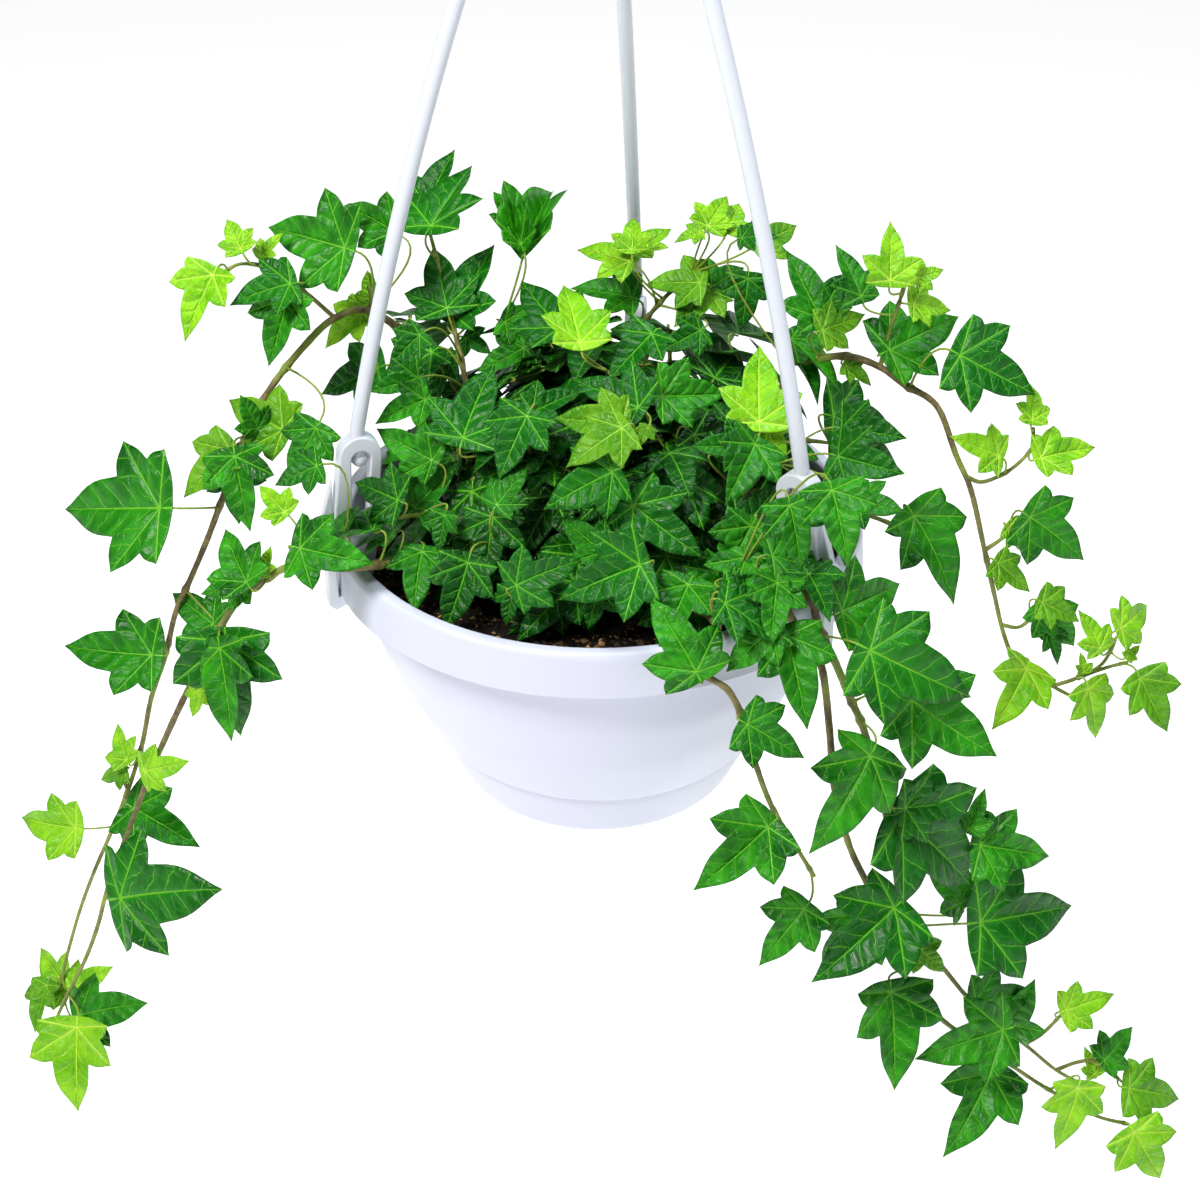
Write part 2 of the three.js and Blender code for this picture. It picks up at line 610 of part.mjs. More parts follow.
function trailLeaves(trail, others, posts) {
  const stem = trailStem(trail);
  const draw = seeded(trail.seed);
  const done = [];
  trail.leaves.forEach((row) => {
    const [px, py, , , lift] = row;
    const level = trail.route.reduce((a, b) => {
      const near = (step) => Math.hypot(step[0] - px, step[1] - py);
      return near(b) < near(a) ? b : a;
    });
    const place = seenAtDepth(px, py, level[2]);
    const outward = new THREE.Vector3(place.x, place.y, 0).normalize();
    const facing = toEye.clone().multiplyScalar(0.9).addScaledVector(outward, 0.3);
    facing.z += 0.15;
    const plump = plumpness(draw);
    const leafAt = (shift) => {
      const leaf = leafSeen(row, liftedToEye(place, lift + shift / 2), swung(facing, draw, 0.28), plump);
      leaf.foot = footOnStem(stem, leaf.base, trail.start.length);
      leaf.owner = trail.name;
      return leaf;
    };
    done.push(settled(leafAt, [...others, ...done], posts));
  });
  return done;
}

// Everything that leaves keep clear of besides each other
function postsOf(points, radius, owner) {
  return points.slice(1).map((to, i) => ({ from: points[i], to, radius, owner }));
}

function fixedPosts() {
  const inClip = (angle, r, z) => new THREE.Vector3(r * Math.cos(angle * DEG), r * Math.sin(angle * DEG), z);
  const clips = CLIP_ANGLES.flatMap((angle) => [
    ...postsOf([inClip(angle, CLIP_RADIUS, SOIL_LEVEL), inClip(angle, CLIP_RADIUS, CLIP_TOP)], 10, "clip"),
    ...postsOf([inClip(angle, BAND_RADIUS, -30), inClip(angle, BAND_RADIUS, 30)], 8, "clip"),
  ]);
  const rods = CLIP_ANGLES.flatMap((angle) => postsOf(rodLine(angle, 6), ROD_RADIUS, "hanger"));
  return [...clips, ...rods, ...TRAILS.flatMap((trail) => postsOf(trailStem(trail), STEM_THICK, trail.name))];
}

// All the leaves, stem by stem, each settled clear of those before it
function allLeaves() {
  const posts = fixedPosts();
  const groups = {};
  const done = [];
  TRAILS.forEach((trail) => {
    groups[trail.name] = trailLeaves(trail, done, posts);
    done.push(...groups[trail.name]);
  });
  groups[CROWN] = crownLeaves(done, posts);
  return groups;
}

function makeTrail(trail, leaves) {
  const stem = trailStem(trail);
  const thin = (_, i) => THREE.MathUtils.lerp(STEM_THICK, STEM_THIN, i / (stem.length - 1));
  return filled(fuse([solidOf(tube(stem, stem.map(thin), 4)), ...leaves.map(leafSolid)]));
}

// The bushy head. Its front leaves stand where the view shows them: rows of the pixel of the stalk's end,
// the pixel of the tip and the lift off the dome towards the eye.
const CROWN_LEAVES = [
  [431, 226, 472, 155, 6], [427, 205, 450, 147, -8],
  [447, 308, 433, 243, 2], [453, 314, 494, 242, 4],
  [378, 368, 318, 393, 0], [432, 352, 375, 388, 4], [447, 356, 430, 412, 8],
  [466, 338, 492, 352, -2], [560, 328, 517, 280, 4], [580, 343, 566, 277, 12], [632, 298, 572, 282, -10],
  [521, 245, 497, 183, 2], [525, 250, 550, 171, -6], [463, 438, 487, 360, 4],
  [527, 416, 496, 478, 10], [533, 412, 580, 388, 6], [497, 505, 528, 463, 2], [493, 517, 481, 584, 8],
  [468, 562, 449, 632, 4], [513, 590, 507, 628, 0], [445, 515, 436, 553, 2], [398, 500, 350, 478, 18],
  [415, 508, 457, 462, 4], [432, 460, 373, 430, 2], [516, 585, 580, 555, 2], [640, 565, 556, 596, 8],
  [603, 552, 558, 517, -4], [600, 588, 585, 630, 0], [612, 472, 543, 505, 4], [622, 428, 565, 463, 12],
  [622, 424, 556, 418, 4], [638, 408, 573, 376, 2], [652, 334, 607, 376, 10], [662, 396, 730, 396, 8],
  [648, 428, 636, 448, 6], [700, 283, 645, 279, 4], [708, 290, 676, 325, -2], [712, 287, 745, 262, -6],
  [708, 226, 727, 191, 4], [728, 230, 741, 200, -4], [700, 232, 674, 240, 2], [757, 245, 799, 224, -4],
  [759, 422, 757, 342, 10], [764, 425, 788, 464, 12],
  [741, 448, 692, 442, 2], [755, 444, 727, 503, 8], [751, 526, 716, 590, 10], [634, 505, 699, 563, 4],
  [724, 590, 770, 618, 14], [833, 416, 906, 430, 6], [838, 438, 903, 474, 0],
  [832, 492, 852, 564, 24], [914, 516, 970, 597, 16],
  [629, 262, 577, 241, 6], [632, 250, 635, 214, 4], [637, 252, 668, 224, 2],
];
// Behind them the head goes on by a rule: leaves spread evenly over the dome's far side
const FAR_LEAVES = 26;
const FAR_SEED = 22;
const FAR_LENGTH = 42;
const TURN_STEP = 0.7549;
const HEIGHT_STEP = 0.5698;

function domeFacing(place) {
  const x = (place.x - DOME.x) / DOME.wide ** 2;
  const y = (place.y - DOME.y) / DOME.wide ** 2;
  return new THREE.Vector3(x, y, (place.z - DOME.z) / DOME.high ** 2).normalize();
}

function stalkIntoCore(leaf) {
  const reach = leaf.base.clone().sub(CORE_MIDDLE);
  const sunk = (CORE_WIDE - 5) / Math.hypot(reach.x, reach.y, (reach.z * CORE_WIDE) / CORE_HIGH);
  leaf.foot = CORE_MIDDLE.clone().addScaledVector(reach, sunk);
  return leaf;
}

const CROWN = "ivy_crown";
const CROWN_SEED = 7;
function crownLeaves(others, posts) {
  const draw = seeded(CROWN_SEED);
  const done = [];
  const settleHere = (leafAt) => {
    const ownLeafAt = (shift) => stalkIntoCore({ ...leafAt(shift), owner: CROWN });
    done.push(settled(ownLeafAt, [...others, ...done], posts));
  };
  CROWN_LEAVES.forEach((row) => {
    const place = seenOnDome(row[0], row[1]);
    const facing = domeFacing(place).multiplyScalar(0.5).addScaledVector(toEye, 0.8);
    const plump = plumpness(draw);
    settleHere((shift) => leafSeen(row, liftedToEye(place, row[4] + shift), swung(facing, draw, 0.25), plump));
  });
  const farDraw = seeded(FAR_SEED);
  for (let i = 0; done.length < CROWN_LEAVES.length + FAR_LEAVES; i++) {
    const turn = 360 * ((i * TURN_STEP) % 1) * DEG;
    const height = 0.26 + 0.66 * ((i * HEIGHT_STEP) % 1);
    const flat = Math.sqrt(1 - height * height);
    const out = new THREE.Vector3(flat * Math.cos(turn), flat * Math.sin(turn), height);
    const facing = out.clone().add(new THREE.Vector3(0, 0, 0.4));
    const length = FAR_LENGTH * (0.8 + 0.35 * farDraw());
    const plump = plumpness(farDraw);
    if (out.dot(toEye) > 0.08 || !clearOfClips(turn / DEG)) continue;
    const leafAt = (shift) => {
      const face = swung(facing, farDraw, 0.3);
      const along = new THREE.Vector3(out.x, out.y, -0.3);
      along.addScaledVector(face, -along.dot(face)).normalize();
      const base = new THREE.Vector3(DOME.wide - 14 + shift, DOME.wide - 14 + shift, DOME.high - 12 + shift);
      base.multiply(out).add(new THREE.Vector3(DOME.x, DOME.y, DOME.z + 8));
      return { base, face, along, length, plump };
    };
    settleHere(leafAt);
  }
  return done;
}

const CLIP_BERTH = 15;
function clearOfClips(turn) {
  return CLIP_ANGLES.every((angle) => Math.abs(((turn - angle + 540) % 360) - 180) > CLIP_BERTH);
}

// The stems and old leaves at the heart of the head, as one low body on short stems in the soil
const CORE_WIDE = 78;
const CORE_HIGH = 54;
const CORE_MIDDLE = new THREE.Vector3(0, 0, 6);
const CORE_STEMS = 8;
const CORE_STEM_CIRCLE = 46;
function coreStemPlaces() {
  return Array.from({ length: CORE_STEMS }, (_, i) => {
    const turn = (2 * Math.PI * i) / CORE_STEMS;
    return [CORE_STEM_CIRCLE * Math.cos(turn), CORE_STEM_CIRCLE * Math.sin(turn)];
  });
}

function makeCrown(leaves) {
  const foot = SOIL_LEVEL + 3;
  const dome = arc(0, 0, 1, 0, 90, 4).map(([r, z]) => [CORE_WIDE * r, CORE_MIDDLE.z + CORE_HIGH * z]);
  const profile = [[0, foot], [CORE_WIDE - 12, foot], ...dome.slice(0, -1), [0, CORE_MIDDLE.z + CORE_HIGH]];
  const core = solidOf(turned(profile.map(([r, z]) => new THREE.Vector2(r, z)), 16));
  const stems = coreStemPlaces().map(([x, y]) => {
    const points = [-ROOT_DEPTH, 8].map((z) => new THREE.Vector3(x, y, SOIL_LEVEL + z));
    return solidOf(tube(points, points.map(() => STEM_THICK), 5));
  });
  return filled(fuse([core, ...stems, ...leaves.map(leafSolid)]));
}

// Potting soil: fills the pot to below the rim, with a hole for every stem
const HOLE_RADIUS = STEM_THICK + 0.7;
const SOIL_ROUND = 24;
function makeSoil() {
  const floor = -POT_DEPTH + WALL + 0.6 + GAP;
  const profile = [[0, floor], [FOOT_RADIUS - 13, floor], [FOOT_RADIUS - 7, floor + 5],
    [STEP_RADIUS - 5, -POT_DEPTH + STEP_HEIGHT + 1], [96, -POT_DEPTH + 67], [106, -POT_DEPTH + 94],
    [112, -BAND_HEIGHT - 3], [113.5, SOIL_LEVEL - 1], [60, SOIL_LEVEL], [0, SOIL_LEVEL]];
  const soil = solidOf(turned(profile.map(([r, z]) => new THREE.Vector2(r, z)), SOIL_ROUND));
  const places = [...coreStemPlaces(), ...TRAILS.map(({ start }) => start[0])];
  const holes = places.map(([x, y]) => {
    const hole = new THREE.CylinderGeometry(HOLE_RADIUS, HOLE_RADIUS, 2 * (ROOT_DEPTH + 2), 6);
    return solidOf(hole.rotateX(Math.PI / 2).translate(x, y, SOIL_LEVEL));
  });
  return soil.subtract(fuse(holes));
}

// Finishes
const white = new THREE.MeshStandardMaterial({ color: 0xeeeef6, roughness: 0.38, metalness: 0 });
const earth = new THREE.MeshStandardMaterial({ color: 0x2a1c12, roughness: 0.95, metalness: 0 });
const foliage = new THREE.MeshStandardMaterial({ color: 0x1f6b1c, roughness: 0.42, metalness: 0 });

const plantPot = new THREE.Group();
plantPot.position.z = -HANG_DROP;

function place(name, solid, material) {
  const mesh = new THREE.Mesh(geometryOf(solid), material);
  mesh.name = name;
  plantPot.add(mesh);
}

place("pot", makePot(), white);
place("soil", makeSoil(), earth);
CLIP_ANGLES.forEach((angle, i) => {
  place(`rim_clip_${CLIP_NAMES[i]}`, makeClip(angle), white);
  place(`hanger_rod_${CLIP_NAMES[i]}`, makeRod(angle), white);
});
place("hanger_hook", makeHook(), white);

const leaves = allLeaves();
place(CROWN, makeCrown(leaves[CROWN]), foliage);
TRAILS.forEach((trail) => place(trail.name, makeTrail(trail, leaves[trail.name]), foliage));

const hangingIvy = new THREE.Group();
hangingIvy.add(plantPot);
export default hangingIvy;
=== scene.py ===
# Looks of the hanging English ivy: fine lobed leaves on stems and stalks, moulded white plastic and
# potting soil, built round the solids. Metres, +Z up, the hook's seat at the origin.
import math

import bpy
import numpy as np
from mathutils.kdtree import KDTree
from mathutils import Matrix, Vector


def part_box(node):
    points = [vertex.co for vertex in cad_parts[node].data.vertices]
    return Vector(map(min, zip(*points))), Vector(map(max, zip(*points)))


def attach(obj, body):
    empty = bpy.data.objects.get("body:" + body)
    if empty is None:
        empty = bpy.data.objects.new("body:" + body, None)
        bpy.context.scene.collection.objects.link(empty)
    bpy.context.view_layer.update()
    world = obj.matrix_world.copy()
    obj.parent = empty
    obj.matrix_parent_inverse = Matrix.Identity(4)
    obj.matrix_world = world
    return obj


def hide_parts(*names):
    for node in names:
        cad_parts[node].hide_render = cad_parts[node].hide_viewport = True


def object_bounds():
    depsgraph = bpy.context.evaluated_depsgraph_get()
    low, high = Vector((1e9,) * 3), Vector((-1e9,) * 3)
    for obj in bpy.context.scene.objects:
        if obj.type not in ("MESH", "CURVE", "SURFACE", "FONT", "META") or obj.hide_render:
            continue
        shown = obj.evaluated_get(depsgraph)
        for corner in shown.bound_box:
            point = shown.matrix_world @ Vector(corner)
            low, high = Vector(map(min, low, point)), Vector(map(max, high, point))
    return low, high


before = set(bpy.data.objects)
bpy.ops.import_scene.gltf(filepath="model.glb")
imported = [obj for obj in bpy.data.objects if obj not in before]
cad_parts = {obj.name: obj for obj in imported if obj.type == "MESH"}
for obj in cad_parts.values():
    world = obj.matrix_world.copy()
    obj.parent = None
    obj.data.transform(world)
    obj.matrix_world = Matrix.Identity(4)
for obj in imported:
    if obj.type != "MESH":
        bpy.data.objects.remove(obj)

CAD_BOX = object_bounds()
MM = 0.001
UP = np.array([0.0, 0.0, 1.0])

# The view of the photograph, shared with the solids: its aim is 1 mm off the pot's axis, below the rim
IMAGE_SIDE = 1200
IMAGE_HALF = IMAGE_SIDE / 2
VIEW_DISTANCE = 0.850
VIEW_ELEVATION = 33.5
VIEW_FOCAL = 1727
RIM_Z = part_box("pot")[1].z
RIM_MIDDLE = np.array([0.0, 0.0, RIM_Z])
AIM = np.array([0.001, 0.0, RIM_Z - 0.0545])

SINE = math.sin(math.radians(VIEW_ELEVATION))
COSINE = math.cos(math.radians(VIEW_ELEVATION))
TO_EYE = np.array([0.0, -COSINE, SINE])
VIEW_RIGHT = np.array([1.0, 0.0, 0.0])
VIEW_UP = np.array([0.0, SINE, COSINE])
EYE = AIM + TO_EYE * VIEW_DISTANCE


def unit(vector):
    return vector / np.linalg.norm(vector)


def square_to(direction, other):
    """The part of a direction that lies square to another, at length 1."""
    return unit(direction - other * (direction @ other))


def outward(turn):
    """The level direction at this turn from the X axis."""
    return np.array([math.cos(turn), math.sin(turn), 0])


def seen_at_depth(px, py, y):
    """The point seen at pixel (px, py) in the upright plane at this y, in millimetres."""
    across, up = px - IMAGE_HALF, IMAGE_HALF - py
    line = VIEW_RIGHT * across / VIEW_FOCAL + VIEW_UP * up / VIEW_FOCAL - TO_EYE
    return EYE + line * (y * MM - EYE[1]) / line[1]


def pixel_of(point):
    off = point - EYE
    scale = VIEW_FOCAL / (-off @ TO_EYE)
    return IMAGE_HALF + scale * (off @ VIEW_RIGHT), IMAGE_HALF - scale * (off @ VIEW_UP)


# Camera, light and floor
def placed(name, data):
    """A new object of the scene with this data."""
    made = bpy.data.objects.new(name, data)
    bpy.context.scene.collection.objects.link(made)
    return made


def make_camera():
    data = bpy.data.cameras.new("camera")
    camera = placed("camera", data)
    data.sensor_width = 36
    data.lens = data.sensor_width * VIEW_FOCAL / IMAGE_SIDE
    data.clip_start = 0.01
    camera.location = EYE
    camera.rotation_euler = (math.radians(90 - VIEW_ELEVATION), 0, 0)
    bpy.context.scene.camera = camera


# Soft lights by name: place from the rim's middle and size in metres, power in watts, and colour
LIGHTS = {
    "key": ((-0.8, -0.9, 1.5), 0.6, 37, (1.0, 0.99, 0.97)),
    "top": ((0.5, 0.3, 1.6), 1.0, 22, (0.86, 0.94, 1.0)),
    "fill": ((1.3, -1.1, 0.4), 1.2, 3, (0.95, 0.98, 1.0)),
}
FLOOR_Z = CAD_BOX[0][2] - 0.35
FLOOR_SIDE = 24.0
FLOOR_PAINT = (0.92, 0.92, 0.93), (0.94, 0.94, 0.94)
# The floor's own light, from near the middle to far out, and the sky's, from level to high: first the
# two distances or heights, then the strength at each
FLOOR_GLOW = (0.2, 1.6, 0.45, 0.84)
SKY_FADE = (0.0, 0.26, 0.80, 0.05)
SKY = (0.97, 0.98, 1.0, 1)


def make_lights():
    for name, (place, size, power, colour) in LIGHTS.items():
        data = bpy.data.lights.new(name, "AREA")
        data.shape = "DISK"
        data.size = size
        data.energy = power
        data.color = colour
        light = placed(name, data)
        light.location = RIM_MIDDLE + place
        towards = Vector(RIM_MIDDLE) - light.location
        light.rotation_euler = towards.to_track_quat("-Z", "Y").to_euler()


def make_surroundings():
    world = bpy.data.worlds.new("studio")
    bpy.context.scene.world = world
    world.use_nodes = True
    tree = world.node_tree
    heading = tree.nodes.new("ShaderNodeSeparateXYZ")
    tree.links.new(tree.nodes.new("ShaderNodeTexCoord").outputs["Generated"], heading.inputs[0])
    fade = tree.nodes.new("ShaderNodeMapRange")
    fade.interpolation_type = "SMOOTHSTEP"
    for key, number in enumerate(SKY_FADE, start=1):
        fade.inputs[key].default_value = number
    tree.links.new(heading.outputs["Z"], fade.inputs[0])
    tree.nodes["Background"].inputs["Color"].default_value = SKY
    tree.links.new(fade.outputs[0], tree.nodes["Background"].inputs["Strength"])
    make_lights()
    mesh = bpy.data.meshes.new("floor")
    half = FLOOR_SIDE / 2
    corners = [(-half, -half), (half, -half), (half, half), (-half, half)]
    mesh.from_pydata([(x, y, FLOOR_Z) for x, y in corners], [], [(0, 1, 2, 3)])
    mesh.materials.append(floor_material())
    placed("floor", mesh)


# Shader nodes, written as short expressions
class Shader:
    def __init__(self, name):
        self.material = bpy.data.materials.new(name)
        self.material.use_nodes = True
        self.tree = self.material.node_tree
        self.surface = self.tree.nodes["Principled BSDF"]

    def node(self, kind, inputs=None, **settings):
        made = self.tree.nodes.new(kind)
        for key, value in settings.items():
            setattr(made, key, value)
        for key, value in (inputs or {}).items():
            self.feed(made.inputs[key], value)
        return made

    def feed(self, socket, value):
        if isinstance(value, bpy.types.NodeSocket):
            self.tree.links.new(value, socket)
        else:
            socket.default_value = (*value, 1) if socket.type == "RGBA" else value

    def math(self, operation, a, b=0.0, c=0.0):
        return self.node("ShaderNodeMath", {0: a, 1: b, 2: c}, operation=operation).outputs[0]

    def times(self, a, b):
        return self.math("MULTIPLY", a, b)

    def plus(self, a, b):
        return self.math("ADD", a, b)

    def minus(self, a, b):
        return self.math("SUBTRACT", a, b)

    def times_plus(self, a, b, c):
        return self.math("MULTIPLY_ADD", a, b, c)

    def mix(self, share, a, b):
        made = self.node("ShaderNodeMix", data_type="RGBA")
        self.feed(made.inputs[0], share)
        self.feed(made.inputs[6], a)
        self.feed(made.inputs[7], b)
        return made.outputs[2]

    def between(self, value, low, high, to_low=0.0, to_high=1.0):
        """value carried from low..high to to_low..to_high, smoothly and held at the ends."""
        made = self.node("ShaderNodeMapRange", interpolation_type="SMOOTHSTEP")
        for key, number in zip((0, 1, 2, 3, 4), (value, low, high, to_low, to_high)):
            self.feed(made.inputs[key], number)
        return made.outputs[0]

    def noise(self, where, scale, detail=3.0, roughness=0.55):
        inputs = {"Vector": where, "Scale": scale, "Detail": detail, "Roughness": roughness}
        return self.node("ShaderNodeTexNoise", inputs).outputs[0]

    def place(self):
        return self.node("ShaderNodeTexCoord").outputs["Object"]

    def shade(self, name):
        """The number that each point of the piece carries under this name."""
        return self.node("ShaderNodeAttribute", attribute_name=name).outputs["Fac"]

    def bump(self, height, distance, strength=1.0):
        inputs = {"Height": height, "Distance": distance, "Strength": strength}
        self.feed(self.surface.inputs["Normal"], self.node("ShaderNodeBump", inputs).outputs[0])

    def paint(self, colour, roughness, **numbers):
        self.feed(self.surface.inputs["Base Color"], colour)
        self.feed(self.surface.inputs["Roughness"], roughness)
        for key, value in numbers.items():
            self.feed(self.surface.inputs[key.replace("_", " ")], value)
        return self.material


def floor_material():
    shader = Shader("floor_paint")
    grain = shader.noise(shader.place(), 3.0)
    reach = shader.node("ShaderNodeVectorMath", {0: shader.place()}, operation="LENGTH").outputs["Value"]
    shader.feed(shader.surface.inputs["Emission Strength"], shader.between(reach, *FLOOR_GLOW))
    return shader.paint(shader.mix(grain, *FLOOR_PAINT), 0.8, Emission_Color=(1, 1, 1))


POT_TINT = (0.65, 0.66, 0.79)
HANGER_TINT = (0.67, 0.70, 0.77)
SCUFF_TINT = (0.55, 0.55, 0.58)


def plastic_material(name, tint):
    """Moulded white plastic with a faint lavender shade, scuffs and a soft shine."""
    shader = Shader(name)
    place = shader.place()
    cloud = shader.noise(place, 14.0, 2.0)
    scuffs = shader.between(shader.noise(place, 210.0, 4.0, 0.7), 0.56, 0.74)
    colour = shader.mix(cloud, tint, tuple(0.965 * part for part in tint))
    colour = shader.mix(shader.times(scuffs, 0.12), colour, SCUFF_TINT)
    shader.bump(shader.noise(place, 900.0, 2.0), 0.00006, 0.5)
    return shader.paint(colour, shader.between(cloud, 0.3, 0.7, 0.30, 0.42))


# Colours of the potting soil and its crumbs, from dark to light
PEAT = (0.003, 0.002, 0.002), (0.014, 0.009, 0.005)
PEAT_FLECK = (0.16, 0.09, 0.04)
CRUMB_DARK = (0.006, 0.004, 0.003), (0.050, 0.027, 0.013)
CRUMB_GOLD = (0.42, 0.24, 0.09)
CRUMB_GRIT = (0.02, 0.012, 0.008)


def soil_material():
    shader = Shader("soil_crumb")
    place = shader.place()
    grit = shader.noise(place, 420.0, 6.0, 0.7)
    lumps = shader.noise(place, 90.0, 4.0)
    colour = shader.mix(shader.between(lumps, 0.35, 0.7), *PEAT)
    colour = shader.mix(shader.between(grit, 0.64, 0.74), colour, PEAT_FLECK)
    shader.bump(shader.plus(grit, lumps), 0.0012)
    return shader.paint(colour, 0.92, Specular_IOR_Level=0.15)


def crumb_material():
    """Bark and fibre crumbs, from black-brown to golden by the crumb."""
    shader = Shader("bark_crumb")
    shade = shader.shade("shade")
    colour = shader.mix(shader.between(shade, 0.0, 0.6), *CRUMB_DARK)
    colour = shader.mix(shader.between(shade, 0.74, 1.0), colour, CRUMB_GOLD)
    grit = shader.noise(shader.place(), 700.0, 4.0, 0.7)
    colour = shader.mix(shader.between(grit, 0.5, 0.75), colour, CRUMB_GRIT)
    shader.bump(grit, 0.0005)
    return shader.paint(colour, 0.85, Specular_IOR_Level=0.2)


# Colours of the stems' bark
OLD_BARK = (0.085, 0.058, 0.022), (0.225, 0.185, 0.070)
YOUNG_BARK = (0.20, 0.31, 0.025), (0.34, 0.50, 0.05)
BARK_STREAK = (0.30, 0.28, 0.15)


def bark_material():
    """Stems: olive-brown bark with pale streaks and green patches, greener where young."""
    shader = Shader("stem_bark")
    place = shader.place()
    cloud = shader.noise(place, 110.0, 4.0, 0.65)
    streak = shader.noise(place, 520.0, 3.0)
    patches = shader.between(shader.noise(place, 30.0, 2.0), 0.52, 0.66, 0.0, 0.6)
    old = shader.mix(shader.between(cloud, 0.35, 0.65), *OLD_BARK)
    young = shader.mix(cloud, *YOUNG_BARK)
    colour = shader.mix(shader.math("MAXIMUM", shader.shade("youth"), patches), old, young)
    colour = shader.mix(shader.between(streak, 0.55, 0.75, 0.0, 0.3), colour, BARK_STREAK)
    shader.bump(shader.plus(cloud, streak), 0.0005)
    return shader.paint(colour, 0.55, Specular_IOR_Level=0.3)


# Leaves, in a leaf's own plane: x across, y towards the tip, both in leaf lengths. Main veins narrow from
# the stalk to the tip. Side veins leave them at a slant, and a fine net lies between.
VEIN_WIDTHS = 0.0125, 0.0035
VEINS_PER_LENGTH = 5.6
VEIN_SLANT = 0.95
SIDE_VEIN_EDGE = 0.012, 0.052
NET_CELLS = 15.0
NET_EDGE = 0.02, 0.09
BLOTCHES = 3.2
BLOTCH_EDGE = 0.35, 0.68
RELIEF = 0.0006
# Colours from dark to light, and for the veins on a mature and on a young leaf
MATURE = (0.002, 0.085, 0.001), (0.036, 0.350, 0.005)
DEEP = (0.001, 0.040, 0.001), (0.008, 0.200, 0.007)
# Painted shade for leaves deep in the head, reached by a tone past 1
SHADED = (0.001, 0.018, 0.001)
YOUNG_SKIN = (0.12, 0.42, 0.004), (0.30, 0.68, 0.012)
# Painted shade for the middle of each pillow between the side veins
PILLOW_SHADE = (0.001, 0.045, 0.001)
VEIN_LINE = (0.15, 0.48, 0.025), (0.56, 0.84, 0.08)
# The pale halo along the main veins, partly their own pale colour and partly painted sheen; it also tints
# the fine net
VEIN_HALO_AND_SHEEN = (0.022, 0.27, 0.008), (0.34, 0.74, 0.03)
UNDERSIDE = (0.10, 0.30, 0.06)


def leaf_material():
    """Leaf skin: green by age, pale veins with side veins and a fine net, a pale halo along the main
    veins that is partly painted sheen, painted shade between the side veins and on leaves deep in the
    head, gloss on top and matt below.
    """
    shader = Shader("leaf_skin")
    times, between, mix = shader.times, shader.between, shader.mix
    kind = shader.node("ShaderNodeAttribute", attribute_name="leaf").outputs["Color"]
    split = shader.node("ShaderNodeSeparateColor", {0: kind})
    youth, tone, under = split.outputs[0], split.outputs[1], split.outputs[2]
    flat = shader.node("ShaderNodeUVMap", uv_map="blade").outputs[0]
    beside_vein = shader.node("ShaderNodeUVMap", uv_map="vein").outputs[0]
    vein = shader.node("ShaderNodeSeparateXYZ", {0: beside_vein})
    along, across = vein.outputs[0], shader.minus(vein.outputs[1], 0.5)
    off = shader.math("ABSOLUTE", across)

    shifted = shader.node("ShaderNodeVectorMath", {0: flat, 1: kind}, operation="ADD").outputs[0]
    widths = shader.math("DIVIDE", off, between(along, 0.0, 0.95, *VEIN_WIDTHS))
    main = between(widths, 0.45, 1.0, 1.0, 0.0)
    # A broad halo beside the main veins: paler partly by its own colour and partly as painted sheen, and
    # sunk in the relief
    vein_halo_and_sheen = between(widths, 0.6, 4.5, 1.0, 0.0)

    wander = times(shader.minus(shader.noise(shifted, 7.0), 0.5), 0.9)
    step = shader.minus(shader.plus(along, times(times(off, off), 0.9)), times(off, VEIN_SLANT))
    count = shader.times_plus(step, VEINS_PER_LENGTH, wander)
    count = shader.plus(count, times(shader.math("GREATER_THAN", across, 0.0), 0.45))
    gap = shader.math("ABSOLUTE", shader.minus(shader.math("FRACT", count), 0.5))
    side = times(between(gap, *SIDE_VEIN_EDGE, 1.0, 0.0), between(off, 0.10, 0.23, 1.0, 0.25))
    inputs = {"Vector": shifted, "Scale": NET_CELLS}
    cells = shader.node("ShaderNodeTexVoronoi", inputs, feature="DISTANCE_TO_EDGE")
    net = between(cells.outputs["Distance"], *NET_EDGE, 1.0, 0.0)

    blotch = shader.noise(shifted, BLOTCHES, 4.0)
    patch = between(blotch, *BLOTCH_EDGE)
    # A darker green by the leaf's tone: leaf by leaf at random on the trails, and in the head partly
    # painted shade
    mature = mix(between(tone, 0.35, 0.85), mix(patch, *MATURE), mix(blotch, *DEEP))
    # Painted shade: a tone past 1 darkens the leaf towards the shaded green
    mature = mix(between(tone, 1.0, 2.0, 0.0, 0.9), mature, SHADED)
    # Painted shade in the middle of each pillow between the side veins, away from the main vein
    pillow_shade = times(between(gap, 0.12, 0.5, 0.0, 0.42), between(off, 0.03, 0.12))
    skin = mix(youth, mix(pillow_shade, mature, PILLOW_SHADE), mix(patch, *YOUNG_SKIN))
    pale, soft = mix(youth, *VEIN_LINE), mix(youth, *VEIN_HALO_AND_SHEEN)
    # The halo along the main veins is paler partly by its own colour and partly as painted sheen
    for share, part, tint in ((vein_halo_and_sheen, 0.55, soft), (net, 0.22, soft), (side, 0.62, pale),
                              (main, 0.95, pale), (under, 0.6, UNDERSIDE)):
        skin = mix(times(share, part), skin, tint)

    valley = shader.math("MAXIMUM", vein_halo_and_sheen, between(gap, 0.0, 0.38, 0.8, 0.0))
    height = times(shader.math("MAXIMUM", side, main), -0.5)
    for share, part in ((valley, -1.1), (net, -0.25), (blotch, 1.6)):
        height = shader.times_plus(share, part, height)
    shader.bump(height, RELIEF, 0.8)
    rough = shader.times_plus(under, 0.3, shader.times_plus(blotch, 0.22, 0.25))
    return shader.paint(skin, rough, Specular_IOR_Level=0.26)


